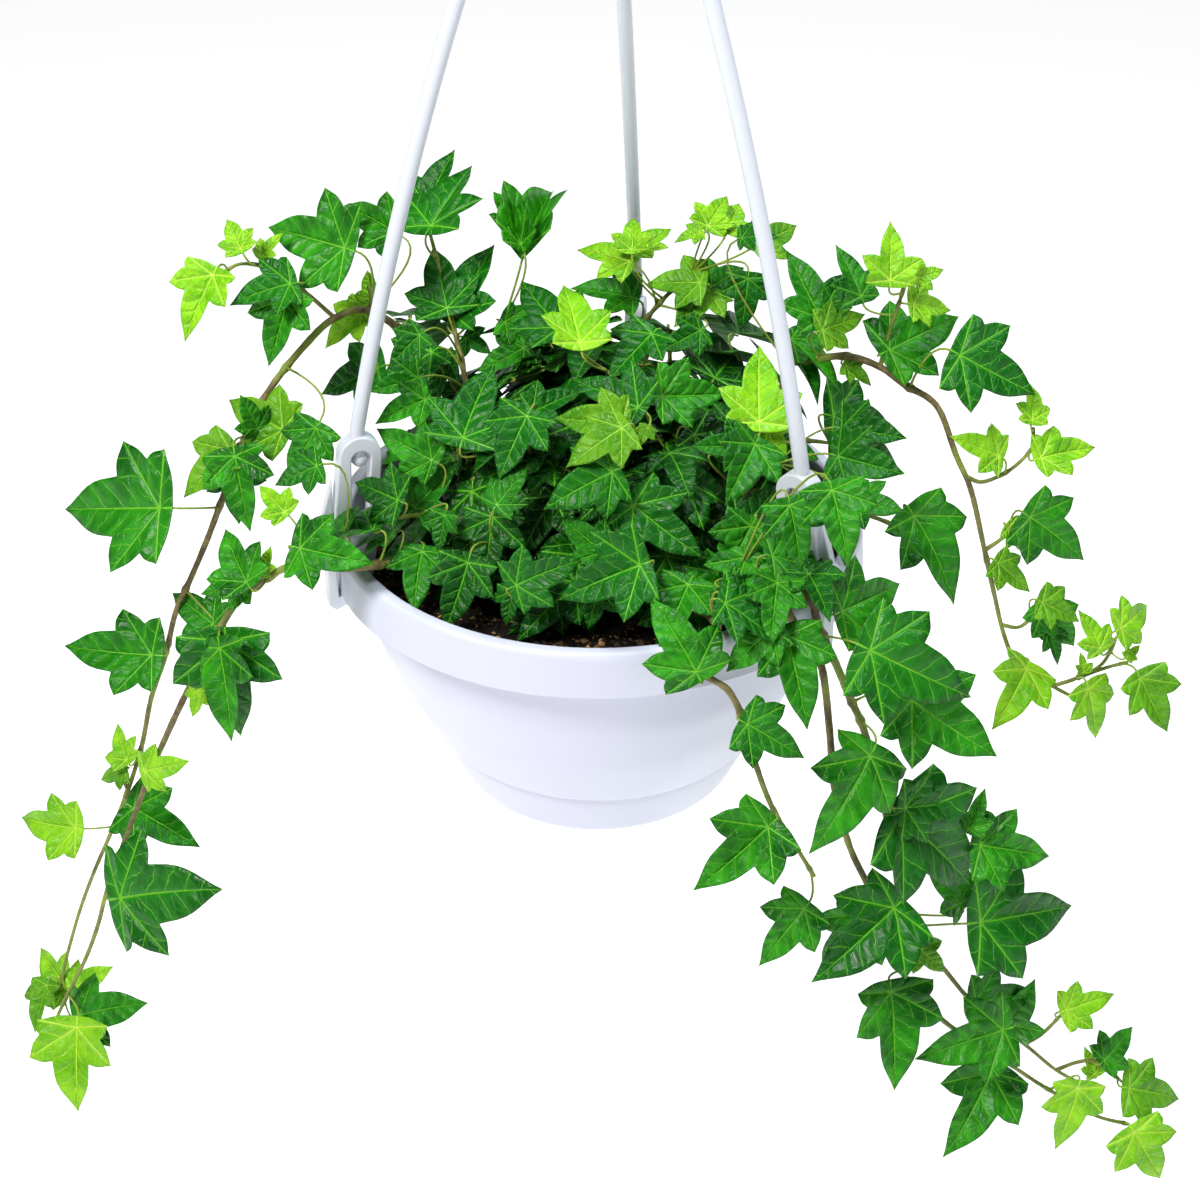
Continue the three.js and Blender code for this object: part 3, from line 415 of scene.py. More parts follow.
# Meshes
def make_object(name, points, faces, material, smooth=True):
    mesh = bpy.data.meshes.new(name)
    mesh.from_pydata(np.asarray(points).tolist(), [], [list(map(int, face)) for face in faces])
    mesh.materials.append(material)
    mesh.polygons.foreach_set("use_smooth", np.full(len(mesh.polygons), smooth))
    return placed(name, mesh)


def finish_piece(piece, slot, *nodes):
    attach(piece, "root")
    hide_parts(*nodes)


class Batch:
    """Points and faces gathered from many small closed forms, with one number for each point."""

    def __init__(self):
        self.points = []
        self.faces = []
        self.values = []
        self.count = 0

    def add(self, points, faces, value=0.0):
        self.points.append(points)
        self.faces.extend(tuple(corner + self.count for corner in face) for face in faces)
        self.values.append(np.broadcast_to(value, len(points)))
        self.count += len(points)

    def make(self, name, material, attribute=None, smooth=True):
        piece = make_object(name, np.concatenate(self.points), self.faces, material, smooth)
        if attribute:
            layer = piece.data.attributes.new(attribute, "FLOAT", "POINT")
            layer.data.foreach_set("value", np.concatenate(self.values).astype(np.float32))
        return piece


def ring_faces(rings, sides, first=0):
    """Faces that join each ring of points to the next one."""
    faces = []
    for low in range(first, first + (rings - 1) * sides, sides):
        for s in range(sides):
            a, b = low + s, low + (s + 1) % sides
            faces.append((a, b, b + sides, a + sides))
    return faces


def tube(points, radii, sides):
    """A closed tube through points, with its own radius at each, that turns no more than it must."""
    points = np.asarray(points)
    radii = np.broadcast_to(radii, len(points))
    normal = np.array([0.31, 0.87, 0.38])
    turns = np.arange(sides) * 2 * math.pi / sides
    rings = []
    for i, point in enumerate(points):
        along = unit(points[min(i + 1, len(points) - 1)] - points[max(i - 1, 0)])
        normal = square_to(normal, along)
        across = np.cross(along, normal)
        ring = np.outer(np.cos(turns), normal) + np.outer(np.sin(turns), across)
        rings.append(point + radii[i] * ring)
    faces = ring_faces(len(points), sides)
    faces.append(tuple(range(sides - 1, -1, -1)))
    faces.append(tuple(range((len(points) - 1) * sides, len(points) * sides)))
    return np.concatenate(rings), faces


def smooth_line(points, steps):
    """A rounder line through points: Catmull-Rom, with this many steps between neighbours."""
    points = [np.asarray(point, dtype=float) for point in points]
    padded = [2 * points[0] - points[1], *points, 2 * points[-1] - points[-2]]
    line = []
    for a, b, c, d in zip(padded, padded[1:], padded[2:], padded[3:]):
        for step in range(steps):
            t = step / steps
            line.append(0.5 * (2 * b + (c - a) * t + (2 * a - 5 * b + 4 * c - d) * t * t
                               + (3 * b - a - 3 * c + d) * t ** 3))
    line.append(points[-1])
    return np.array(line)


def even_line(points, spacing):
    """The same line with its points evenly spaced."""
    lengths = np.linalg.norm(np.diff(points, axis=0), axis=1)
    reach = np.concatenate([[0], np.cumsum(lengths)])
    places = np.linspace(0, reach[-1], max(2, round(reach[-1] / spacing) + 1))
    return np.stack([np.interp(places, reach, points[:, axis]) for axis in range(3)], axis=1)


def bezier(start, bend, end, steps):
    t = np.linspace(0, 1, steps + 1)[:, None]
    return (1 - t) ** 2 * start + 2 * t * (1 - t) * bend + t ** 2 * end


# The leaves of the solids: each is a fan of eleven corners round a middle point, alike above and below.
# A corner is a turn from the middle lobe in degrees, its reach and its sag in leaf lengths.
NOTCH_REACH = 0.13
LOBES = [(0, 1, -0.1), (31, 0.45, 0.02), (55, 0.65, -0.06), (78, 0.4, 0.02), (99, 0.46, -0.04),
         (171, NOTCH_REACH, 0)]
CORNERS = LOBES + [(-turn, reach, sag) for turn, reach, sag in reversed(LOBES[1:])]
BLADE_THICK = 0.8 * MM
SHORTEST, LONGEST = 8 * MM, 75 * MM
PLUMP_LEAST, PLUMP_MOST = 0.92, 1.12
LEVEL_SLACK, PLACE_SLACK = 0.01 * MM, 0.02 * MM
LEAST_CORNERS = 9


class Leaf:
    def __init__(self, base, along, face, length, plump):
        self.base, self.along, self.face = base, along, face
        self.side = np.cross(along, face)
        self.length, self.plump = length, plump
        self.foot = None
        self.youth, self.tone, self.fold = 0.0, 0.5, 0.0

    def corner(self, turn, reach, sag):
        turn = math.radians(turn)
        flat = self.along * reach * math.cos(turn) + self.side * self.plump * reach * math.sin(turn)
        return self.base + self.length * (flat + self.face * sag)


def leaves_in(node):
    """The leaves of a node, found by their corners."""
    raw = np.array([v.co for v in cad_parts[node].data.vertices], dtype=float)
    points = raw[np.unique(np.round(raw / (2e-3 * MM)).astype(np.int64), axis=0, return_index=True)[1]]
    tree = KDTree(len(points))
    for i, point in enumerate(points):
        tree.insert(point, i)
    tree.balance()
    found = []
    for i, upper in enumerate(points):
        for _, j, gap in tree.find_range(upper, 1.01 * BLADE_THICK):
            if gap > 0.99 * BLADE_THICK:
                best = best_leaf(upper, points[j], points, tree)
                if best is not None:
                    found.append(best)
    found.sort(key=lambda pair: -pair[0])
    kept = []
    for _, leaf in found:
        if all(np.linalg.norm(leaf.base - other.base) > BLADE_THICK for other in kept):
            kept.append(leaf)
    kept.sort(key=lambda leaf: tuple(np.round(leaf.base, 5)))
    return kept


def best_leaf(upper, lower, points, tree):
    """The leaf whose middle is between these two points, if its corners are there."""
    face = unit(upper - lower)
    off = points - upper
    rise = off @ face
    flat = off - np.outer(rise, face)
    reach = np.linalg.norm(flat, axis=1)
    tips = (abs(rise - LOBES[0][2] * reach) < LEVEL_SLACK) & (reach > SHORTEST) & (reach < LONGEST)
    best = None
    for k in np.flatnonzero(tips):
        along, length = flat[k] / reach[k], reach[k]
        side = np.cross(along, face)
        sag = LOBES[2][2]
        wide, ahead = flat_corner(LOBES[2]) * length
        level = (abs(rise - sag * length) < LEVEL_SLACK) & (abs(off @ along - ahead) < PLACE_SLACK)
        widths = abs(off[level] @ side) / wide
        widths = widths[(widths > PLUMP_LEAST) & (widths < PLUMP_MOST)]
        for plump in widths[:2]:
            leaf = Leaf((upper + lower) / 2, along, face, length, plump)
            half = leaf.face * BLADE_THICK / 2
            score = sum(tree.find(leaf.corner(*corner) + shift)[2] < PLACE_SLACK
                        for corner in CORNERS for shift in (half, -half))
            if score >= LEAST_CORNERS and (best is None or score > best[0]):
                best = (score, leaf)
    return best


# Young, light leaves: how young, with the pixel where each one's stalk ends
YOUNG = [
    (1.0, [(213, 275), (241, 249), (262, 257), (374, 300), (362, 312), (127, 760), (76, 828), (68, 988),
           (72, 988), (285, 512), (262, 573), (200, 690), (145, 771), (77, 1027), (890, 280), (917, 278),
           (913, 304), (998, 456), (1041, 458), (1032, 420), (1008, 527), (1100, 648), (1120, 628),
           (1127, 657), (1088, 688), (1026, 669), (1083, 672), (1066, 1010), (1094, 1074), (1078, 1088),
           (1134, 1132), (580, 343), (708, 226), (728, 230), (700, 232), (759, 422), (764, 425),
           (629, 262), (632, 250), (637, 252)]),
    (0.45, [(283, 430), (230, 450), (124, 770), (47, 985), (998, 563), (1042, 602), (1140, 678),
            (822, 330), (846, 366), (1129, 1088), (918, 947), (622, 428), (622, 424), (648, 428),
            (700, 283), (708, 290), (757, 245)]),
]
SAME_PIXEL = 1.5
# Pixels round the stalk ends of the leaves that stand folded at the head's top, and their fold in radians
FOLDED_X, FOLDED_Y, FOLDED = (500, 545), (225, 262), 1.05


def is_folded(leaf):
    px, py = pixel_of(leaf.base)
    return FOLDED_X[0] < px < FOLDED_X[1] and FOLDED_Y[0] < py < FOLDED_Y[1]


def youth_of(leaf):
    px, py = pixel_of(leaf.base)
    for youth, places in YOUNG:
        if any(math.hypot(px - x, py - y) < SAME_PIXEL for x, y in places):
            return youth
    return 0.0


# A fine leaf: a round of columns from its middle out to the lobed edge, with a column on every vein.
# Each lobe's edge bulges a little on either side, by its turn from the middle lobe.
TIP_TURNS = (0, 55, 99)
EDGE_BULGES = {0: 0.056, 55: 0.024, 99: 0.024}
SKIN_THICK = 0.5 * MM
VEIN_SINK = 0.012
BLADE_MAP_SCALE = np.array([0.4, 0.7])
BLADE_MAP_START = np.array([0.5, 0.25])
# How far each leaf curls, bends, folds and waves, and how far its side lobes grow, by seeded draws
CURL, BEND, FOLD = (-0.04, 0.09), (-0.09, 0.09), (0.0, 0.45)
WAVE, LOBE_GROWTH = (0.010, 0.032), (-0.16, 0.06)


def is_tip(corner):
    return abs(corner[0]) in TIP_TURNS


def flat_corner(corner):
    turn, reach, _ = corner
    return reach * np.array([math.sin(math.radians(turn)), math.cos(math.radians(turn))])


class FineLeaf:
    """Flat places, sags, vein depths, faces and maps of the fine leaf, above and below."""

    def __init__(self, edge_steps, rings):
        self.rings = rings
        self.columns, self.veins = self.edge(edge_steps)
        self.spread()
        self.join()
        self.map_corners()

    def edge(self, steps):
        """Columns round the blade: edge place, sag, place from the tip; and each face column's vein."""
        order = sorted(CORNERS, key=lambda corner: corner[0])
        columns, veins = [], []
        for first, second in zip(order, order[1:]):
            tip = first if is_tip(first) else second
            a, b = flat_corner(first), flat_corner(second)
            outward = unit(np.array([a[1] - b[1], b[0] - a[0]]))
            bulge = EDGE_BULGES[abs(tip[0])]
            for step in range(steps):
                t = step / steps
                from_tip = t if first is tip else 1 - t
                swell = bulge * math.sin(math.pi * from_tip ** 1.25) ** 1.3
                sag = first[2] + (second[2] - first[2]) * t
                columns.append((a + (b - a) * t + outward * swell, sag, from_tip))
            veins.extend([flat_corner(tip) / tip[1]] * steps)
        columns.append((flat_corner(order[-1]), order[-1][2], 1.0))
        veins.append(np.array([0.0, 1.0]))
        return columns, veins

    def spread(self):
        places, sags, sinks = [np.zeros(2)], [0.0], [0.5]
        for ring in range(1, self.rings + 1):
            reach = (ring / self.rings) ** 0.9
            for place, sag, from_tip in self.columns:
                places.append(place * reach)
                sags.append(sag * reach ** 1.5)
                sinks.append(1.0 - reach if from_tip == 0 else 0.0)
        self.places, self.sags, self.sinks = np.array(places), np.array(sags), np.array(sinks)
        self.reach = np.linalg.norm(self.places, axis=1)
        self.turn = np.arctan2(self.places[:, 0], self.places[:, 1])

    def join(self):
        count, around = len(self.places), len(self.columns)
        top = [(0, 1 + (s + 1) % around, 1 + s) for s in range(around)]
        top += [(c, d, a, b) for a, b, c, d in ring_faces(self.rings, around, 1)]
        bottom = [tuple(corner + count for corner in reversed(face)) for face in top]
        last = count - around
        rim = []
        for s in range(around):
            a, b = last + s, last + (s + 1) % around
            rim.append((a, b, b + count, a + count))
        self.sheet_faces = len(top) + len(bottom)
        self.faces = top + bottom + rim

    def map_corners(self):
        """Both maps at each face corner: the place on the blade, and the place along and off its vein."""
        blade, vein = [], []
        for number, face in enumerate(self.faces):
            ahead_x, ahead_y = self.veins[number % len(self.columns)]
            for corner in face:
                x, y = self.places[corner % len(self.places)]
                blade.append(BLADE_MAP_START + BLADE_MAP_SCALE * (x, y))
                vein.append((x * ahead_x + y * ahead_y, 0.5 + x * ahead_y - y * ahead_x))
        self.maps = {"blade": np.array(blade), "vein": np.array(vein)}

    def points(self, leaf, draw):
        """The points of one leaf, with its own curl, bend and waves."""
        x, y = self.places[:, 0], self.places[:, 1]
        curl, bend, fold = draw.uniform(*CURL), draw.uniform(*BEND), draw.uniform(*FOLD)
        fold = max(fold, leaf.fold)
        waves, phase = draw.uniform(*WAVE), draw.uniform(0, 2 * math.pi)
        beside = np.clip((abs(self.turn) - 0.5) * 1.9, 0, math.pi)
        lobes = 1 + draw.uniform(*LOBE_GROWTH) * np.sin(beside) ** 2
        x, y = x * lobes, y * lobes
        across = x * leaf.plump * math.cos(fold) + bend * y * abs(y)
        up = self.sags * (1 + 6 * curl) - curl * self.reach ** 3 - VEIN_SINK * self.sinks
        up = up + math.sin(fold) * abs(x) + waves * self.reach ** 2 * np.sin(5 * self.turn + phase)
        flat = np.outer(across, leaf.side) + np.outer(y, leaf.along) + np.outer(up, leaf.face)
        sheet = leaf.base + leaf.length * flat
        thick = np.full(len(self.places), SKIN_THICK / 2)
        thick[-len(self.columns):] *= 0.5
        lift = np.outer(thick, leaf.face)
        return np.concatenate([sheet + lift, sheet - lift])


FINE_LEAF = FineLeaf(8, 7)
INNER_LEAF = FineLeaf(4, 4)


def make_leaves(name, shape, leaves, draw, material, node):
    """All these fine leaves as one piece, for a node."""
    points = np.concatenate([shape.points(leaf, draw) for leaf in leaves])
    size = 2 * len(shape.places)
    starts = range(0, size * len(leaves), size)
    faces = [tuple(corner + start for corner in face) for start in starts for face in shape.faces]
    piece = make_object(name, points, faces, material)
    smooth = np.arange(len(shape.faces)) < shape.sheet_faces
    piece.data.polygons.foreach_set("use_smooth", np.tile(smooth, len(leaves)))
    for map_name, corners in shape.maps.items():
        layer = piece.data.uv_layers.new(name=map_name)
        layer.uv.foreach_set("vector", np.tile(corners, (len(leaves), 1)).astype(np.float32).ravel())
    kinds = []
    for leaf in leaves:
        for under in (0.0, 1.0):
            kinds.append(np.tile((leaf.youth, leaf.tone, under, 1.0), (size // 2, 1)))
    layer = piece.data.color_attributes.new("leaf", "FLOAT_COLOR", "POINT")
    layer.data.foreach_set("color", np.concatenate(kinds).astype(np.float32).ravel())
    finish_piece(piece, "ivy_foliage", node)


# Stalks and stems
STALK_RADIUS = 0.62 * MM
STALK_SIDES = 6
STALK_STEPS = 8


def stalk_line(leaf):
    """From under the middle of the blade, out through its notch, in a bow to the foot on the stem."""
    end = leaf.base - leaf.along * NOTCH_REACH * leaf.length
    bow = 0.3 * np.linalg.norm(leaf.foot - end)
    bend = end - leaf.along * bow - leaf.face * 0.4 * bow
    sunk = leaf.face * (STALK_RADIUS + SKIN_THICK / 2)
    line = bezier(end - 0.6 * sunk, bend, leaf.foot, STALK_STEPS)
    return np.concatenate([[leaf.base - sunk - leaf.face * VEIN_SINK / 2 * leaf.length], line])


def add_stalk(batch, leaf):
    line = stalk_line(leaf)
    part = np.linspace(0, 1, len(line))
    size = 0.75 + 0.25 * min(1.0, leaf.length / (40 * MM))
    radii = STALK_RADIUS * size * (0.9 + 0.5 * np.exp(-((1 - part) / 0.08) ** 2))
    batch.add(*tube(line, radii, STALK_SIDES), 0.75 + 0.25 * leaf.youth)


STEM_THICK = 2.0 * MM
STEM_THIN = 0.9 * MM
STEM_SPACING = 2.5 * MM
STEM_SIDES = 8
KNOT_LONG = 1.8 * MM


def nearest_on(line, point):
    """The nearest place on a line to a point, and how far along it that is."""
    steps = np.diff(line, axis=0)
    parts = np.einsum("ij,ij->i", point - line[:-1], steps) / np.einsum("ij,ij->i", steps, steps)
    places = line[:-1] + steps * parts.clip(0, 1)[:, None]
    i = int(np.argmin(np.linalg.norm(places - point, axis=1)))
    lengths = np.linalg.norm(steps, axis=1)
    return places[i], lengths[:i].sum() + parts.clip(0, 1)[i] * lengths[i]


def add_stem(batch, line, thick, thin, knots, draw, youth_from=0.55):
    """A stem with a swelling at each leaf's foot and small wobbles, greener from a part of it on."""
    line = even_line(line, STEM_SPACING)
    reach = np.linspace(0, 1, len(line))
    along = reach * STEM_SPACING * (len(line) - 1)
    swell = np.zeros(len(line))
    for knot in knots:
        swell = np.maximum(swell, 0.45 * np.exp(-((along - knot) / KNOT_LONG) ** 2))
    radii = (thick + (thin - thick) * reach) * (1 + swell) * draw.uniform(0.94, 1.06, len(line))
    points, faces = tube(line, radii, STEM_SIDES)
    youth = np.repeat(((reach - youth_from) / (1 - youth_from)).clip(0, 1) * 0.6, STEM_SIDES)
    batch.add(points, faces, youth)


# Trailing stems, as the solids have them: points in millimetres from the rim's middle where each leaves
# the soil and crosses the rim, then rows of pixel x, pixel y and depth along Y in millimetres
TRAILS = {
    "ivy_trail_left_arch": (
        [(-82, 48, -11), (-84, 47, 20), (-88, 42, 62)],
        [(370, 311, 32), (335, 318, 26), (306, 344, 20), (268, 392, 9), (244, 442, 0), (222, 500, -8),
         (207, 540, -13), (190, 580, -16), (176, 611, -19), (165, 657, -21), (151, 699, -23),
         (142, 745, -24), (128, 790, -25), (110, 835, -25), (94, 872, -25), (80, 910, -24),
         (68, 952, -24), (60, 985, -24)]),
    "ivy_trail_left_front": (
        [(-78, -52, -11), (-88, -58, 4), (-104, -68, 8)],
        [(300, 565, -68), (270, 576, -67), (235, 604, -64), (207, 655, -60), (184, 698, -57),
         (157, 757, -54), (140, 800, -53), (125, 840, -52), (107, 890, -51), (98, 925, -51),
         (85, 960, -51), (65, 1000, -51), (56, 1022, -51), (58, 1040, -51)]),
    "ivy_trail_right_arch": (
        [(86, 32, -11), (87, 30, 20), (88, 27, 58)],
        [(800, 362, 22), (845, 356, 17), (880, 367, 12), (905, 385, 8), (937, 406, 2), (956, 455, -4),
         (971, 490, -8), (983, 543, -11), (994, 593, -13), (1004, 635, -14), (1018, 664, -15),
         (1052, 686, -16), (1075, 698, -16)]),
    "ivy_trail_right_outer": (
        [(72, -64, -11), (78, -76, 6), (90, -97, 12)],
        [(818, 625, -100), (836, 664, -102), (850, 698, -103), (864, 730, -104), (880, 790, -104),
         (893, 850, -103), (900, 900, -102), (918, 936, -100), (945, 970, -98), (970, 1000, -95),
         (1000, 1026, -92), (1028, 1047, -89), (1056, 1070, -86), (1084, 1085, -84)]),
    "ivy_trail_right_middle": (
        [(56, -72, -11), (64, -82, 8), (76, -101, 11)],
        [(806, 640, -106), (822, 668, -112), (830, 735, -116), (834, 785, -118), (849, 845, -119),
         (870, 890, -119), (888, 940, -118), (906, 979, -116), (933, 1008, -114), (950, 1026, -112),
         (1012, 1066, -108), (1046, 1088, -105), (1094, 1115, -102), (1128, 1124, -100)]),
    "ivy_trail_front": (
        [(38, -86, -11), (42, -96, 4), (50, -116, 9)],
        [(700, 668, -130), (728, 690, -132), (745, 724, -134), (756, 765, -136), (772, 807, -137),
         (795, 845, -138), (814, 876, -138)]),
}
# Side shoots off the trailing stems, in the same rows
SHOOTS = {
    "ivy_trail_left_arch": [
        [(335, 318, 26), (300, 288, 25), (268, 268, 24), (240, 264, 23), (222, 274, 22)],
        [(368, 312, 32), (372, 302, 34), (368, 286, 36)],
        [(128, 790, -25), (122, 775, -24), (118, 752, -24)],
        [(60, 985, -24), (58, 992, -23), (52, 1000, -22)],
    ],
    "ivy_trail_right_arch": [
        [(967, 477, -7), (983, 482, -6), (1010, 470, -5), (1032, 448, -5), (1033, 428, -5)],
        [(880, 367, 12), (890, 330, 12), (900, 300, 12), (905, 284, 12)],
        [(985, 550, -11), (1000, 540, -10), (1015, 528, -10)],
        [(1002, 625, -14), (1020, 627, -13), (1036, 612, -13)],
        [(1052, 686, -16), (1077, 678, -15), (1103, 663, -14), (1117, 636, -14)],
        [(1077, 678, -15), (1105, 668, -14), (1128, 662, -13)],
    ],
    "ivy_trail_right_outer": [
        [(1024, 1044, -89), (1042, 1034, -88), (1062, 1014, -87)],
        [(1056, 1070, -86), (1078, 1062, -85), (1098, 1062, -84), (1122, 1082, -83)],
    ],
}
SOIL_DEPTH = 14 * MM
SOIL_Z = RIM_Z - SOIL_DEPTH
ROOT_DEPTH = 12 * MM
FOOT_LAG = 12 * MM


def trail_line(start, route):
    x, y, _ = start[0]
    points = [RIM_MIDDLE + np.array([x, y, 0]) * MM - UP * (SOIL_DEPTH + ROOT_DEPTH)]
    points += [RIM_MIDDLE + np.array(place) * MM for place in start]
    points += [seen_at_depth(px, py, y) for px, py, y in route]
    return smooth_line(points, 5)


SHOOT_THICK = 1.1 * MM
SHOOT_THIN = 0.7 * MM
# Small leaves where a trailing stem leaves the soil and crosses the rim: how many, the stretch of the
# stem's line in points, and their rise and length in millimetres
START_LEAVES = 5
START_FIRST, START_SPAN = 4, 14
START_RISE = 9, 17
START_LENGTH = 24, 34


def start_leaves(line, draw):
    leaves = []
    for i in range(START_LEAVES):
        place = line[START_FIRST + round((i + draw.uniform(0, 0.6)) * START_SPAN / START_LEAVES)]
        out = unit((place - RIM_MIDDLE) * np.array([1, 1, 0]))
        sideways = np.cross(out, UP) * draw.choice((-1.0, 1.0)) * draw.uniform(0.3, 1.0)
        face = unit(UP + out * draw.uniform(0.1, 0.8) + sideways * 0.5)
        along = sideways + out * draw.uniform(0.2, 1.0)
        base = place + UP * draw.uniform(*START_RISE) * MM + sideways * 6 * MM
        leaves.append(Leaf(base, square_to(along, face), face, draw.uniform(*START_LENGTH) * MM, 1.0))
    return leaves


# Further leaves that fill out the stems and the head: pixels of stalk end and tip, the stalk end's depth
# along Y and how far the tip stands nearer, both in millimetres
CROWN = "ivy_crown"
MORE_LEAVES = {
    CROWN: [
        (425, 400, 374, 418, -22, 10), (418, 378, 368, 392, -8, 6), (420, 335, 385, 365, 4, 6),
        (832, 490, 854, 564, -97, 22), (790, 505, 806, 572, -96, 16), (842, 428, 906, 436, -20, 10),
        (838, 456, 905, 474, -38, 12), (858, 500, 902, 512, -62, 12), (524, 348, 478, 372, 30, 10),
        (505, 322, 548, 340, 42, 8), (748, 278, 742, 330, 40, 10), (700, 330, 660, 352, 36, 10),
    ],
    "ivy_trail_left_arch": [
        (290, 284, 228, 296, 8, 10), (316, 428, 288, 480, -30, 10), (232, 462, 244, 526, -16, 8),
        (258, 428, 240, 396, -6, 4),
    ],
    "ivy_trail_left_front": [(226, 640, 236, 742, -66, 18)],
    "ivy_trail_right_arch": [(1044, 606, 1076, 652, -16, 6), (742, 238, 778, 232, 30, 4)],
    "ivy_trail_right_outer": [(1006, 1024, 1038, 986, -92, 4)],
    "ivy_trail_right_middle": [(866, 914, 816, 976, -124, 8)],
    "ivy_trail_front": [(772, 628, 726, 672, -120, 10)],
}


def more_leaves(node, draw):
    leaves = []
    for px, py, tip_px, tip_py, y, nearer in MORE_LEAVES.get(node, []):
        base = seen_at_depth(px, py, y)
        along = seen_at_depth(tip_px, tip_py, y - nearer) - base
        length = np.linalg.norm(along)
        along = along / length
        face = TO_EYE + UP * draw.uniform(0.0, 0.6) + VIEW_RIGHT * draw.uniform(-0.3, 0.3)
        leaves.append(Leaf(base, along, square_to(face, along), length, draw.uniform(0.95, 1.1)))
    return leaves


TRAIL_SEED, CROWN_SEED, SOIL_SEED = 100, 7, 21


def make_trail(node, number, materials):
    draw = np.random.default_rng(TRAIL_SEED + number)
    stem = trail_line(*TRAILS[node])
    shoots = [smooth_line([seen_at_depth(px, py, y) for px, py, y in rows], 5)
              for rows in SHOOTS.get(node, [])]
    lines = [stem, *shoots]
    knots = [[] for _ in lines]
    leaves = leaves_in(node) + start_leaves(stem, draw) + more_leaves(node, draw)
    batch = Batch()
    for leaf in leaves:
        leaf.youth, leaf.tone = youth_of(leaf), draw.uniform()
        places = [nearest_on(line, leaf.base)[0] for line in lines]
        gaps = [np.linalg.norm(place - leaf.base) for place in places]
        chosen = int(np.argmin(gaps))
        line = lines[chosen]
        back = unit(line[-1] - line[0]) * min(FOOT_LAG, 0.3 * gaps[chosen])
        leaf.foot, along = nearest_on(line, places[chosen] - back)
        knots[chosen].append(along)
        add_stalk(batch, leaf)
    add_stem(batch, stem, STEM_THICK, STEM_THIN, knots[0], draw)
    for shoot, places in zip(shoots, knots[1:]):
        add_stem(batch, shoot, SHOOT_THICK, SHOOT_THIN, places, draw, -0.6)
    make_leaves(f"{node}_leaves", FINE_LEAF, leaves, draw, materials["leaf"], node)
    finish_piece(batch.make(f"{node}_stem", materials["bark"], "youth"), "ivy_foliage", node)


# The bushy head: the solids' leaves on stems that rise from the soil, over smaller leaves darkened by
# painted shade
DOME_MIDDLE = RIM_MIDDLE + np.array([4, 4, -8]) * MM
DOME_SIZE = np.array([106, 106, 92]) * MM
CROWN_STEMS = 22
CROWN_STEM_THICK, CROWN_STEM_THIN = 1.5 * MM, 0.8 * MM
GOLDEN_TURN = 0.618034
INNER_LEAVES = 190
# Even spread of the inner leaves, in turns and in height; their depth in the dome, length and painted
# shade, as a tone past 1
INNER_TURN, INNER_RISE = 0.754878, 0.569840
INNER_DEPTH = 0.58, 0.88
INNER_LENGTH = 24, 42
INNER_PAINTED_SHADE = 1.35, 2.0
# The head's own leaves get tones reaching past 1 into painted shade; the added outer leaves stay within 1
CROWN_TONE_AND_SHADE = 0.4, 1.45
OUTER_TONE = 0.2, 1.0


def crown_stems(draw):
    """Stems that rise from the soil and lean out under the dome."""
    lines = []
    for i in range(CROWN_STEMS):
        root = math.sqrt((i + 0.5) / CROWN_STEMS)
        out = outward(2 * math.pi * (i * GOLDEN_TURN % 1))
        foot = RIM_MIDDLE + out * (14 + 60 * root) * MM
        foot[2] = SOIL_Z - 4 * MM
        lean = 0.35 + 0.5 * root + draw.uniform(-0.08, 0.08)
        head = DOME_MIDDLE + DOME_SIZE * unit(out * lean + UP * (1.05 - lean)) * draw.uniform(0.72, 0.84)
        bend = foot + (head - foot) * 0.4 + UP * draw.uniform(8, 22) * MM
        lines.append(even_line(bezier(foot, bend, head, 12), 4 * MM))
    return lines


# A leaf further than this from every stem gets a shoot, shared by the leaves within a group's reach
HIGH_GAP = 34 * MM
GROUP_REACH = 48 * MM


def high_shoots(leaves, stems):
    """Shoots from the nearest stems up to each group of leaves that stands clear of them."""
    groups = []
    for leaf in sorted(leaves, key=lambda leaf: -leaf.base[2]):
        if min(np.linalg.norm(nearest_on(line, leaf.base)[0] - leaf.base) for line in stems) < HIGH_GAP:
            continue
        near = [group for group in groups if np.linalg.norm(group[0] - leaf.base) < GROUP_REACH]
        if near:
            near[0].append(leaf.base)
        else:
            groups.append([leaf.base])
    shoots = []
    for group in groups:
        head = np.mean(group, axis=0) - UP * 9 * MM
        feet = [nearest_on(line, head - UP * 40 * MM)[0] for line in stems]
        foot = min(feet, key=lambda place: np.linalg.norm(place - head))
        bend = foot + (head - foot) * 0.35 + UP * 12 * MM
        shoots.append(even_line(bezier(foot, bend, head, 12), 3 * MM))
    return shoots


def inner_leaves(draw):
    """Smaller leaves under the outer ones, facing out and up, darkened by painted shade."""
    leaves = []
    for i in range(INNER_LEAVES):
        height = 0.02 + 0.93 * (i * INNER_RISE % 1)
        out = outward(2 * math.pi * (i * INNER_TURN % 1)) * math.sqrt(1 - height * height) + UP * height
        base = DOME_MIDDLE + DOME_SIZE * out * draw.uniform(*INNER_DEPTH)
        base[2] = max(base[2], RIM_Z + 4 * MM)
        face = unit(out * 0.8 + UP * 0.5 + draw.normal(0, 0.25, 3))
        along = square_to(out * 0.7 - UP * 0.5 + draw.normal(0, 0.6, 3), face)
        leaf = Leaf(base, along, face, draw.uniform(*INNER_LENGTH) * MM, draw.uniform(0.9, 1.05))
        leaf.tone = draw.uniform(*INNER_PAINTED_SHADE)
        leaves.append(leaf)
    return leaves


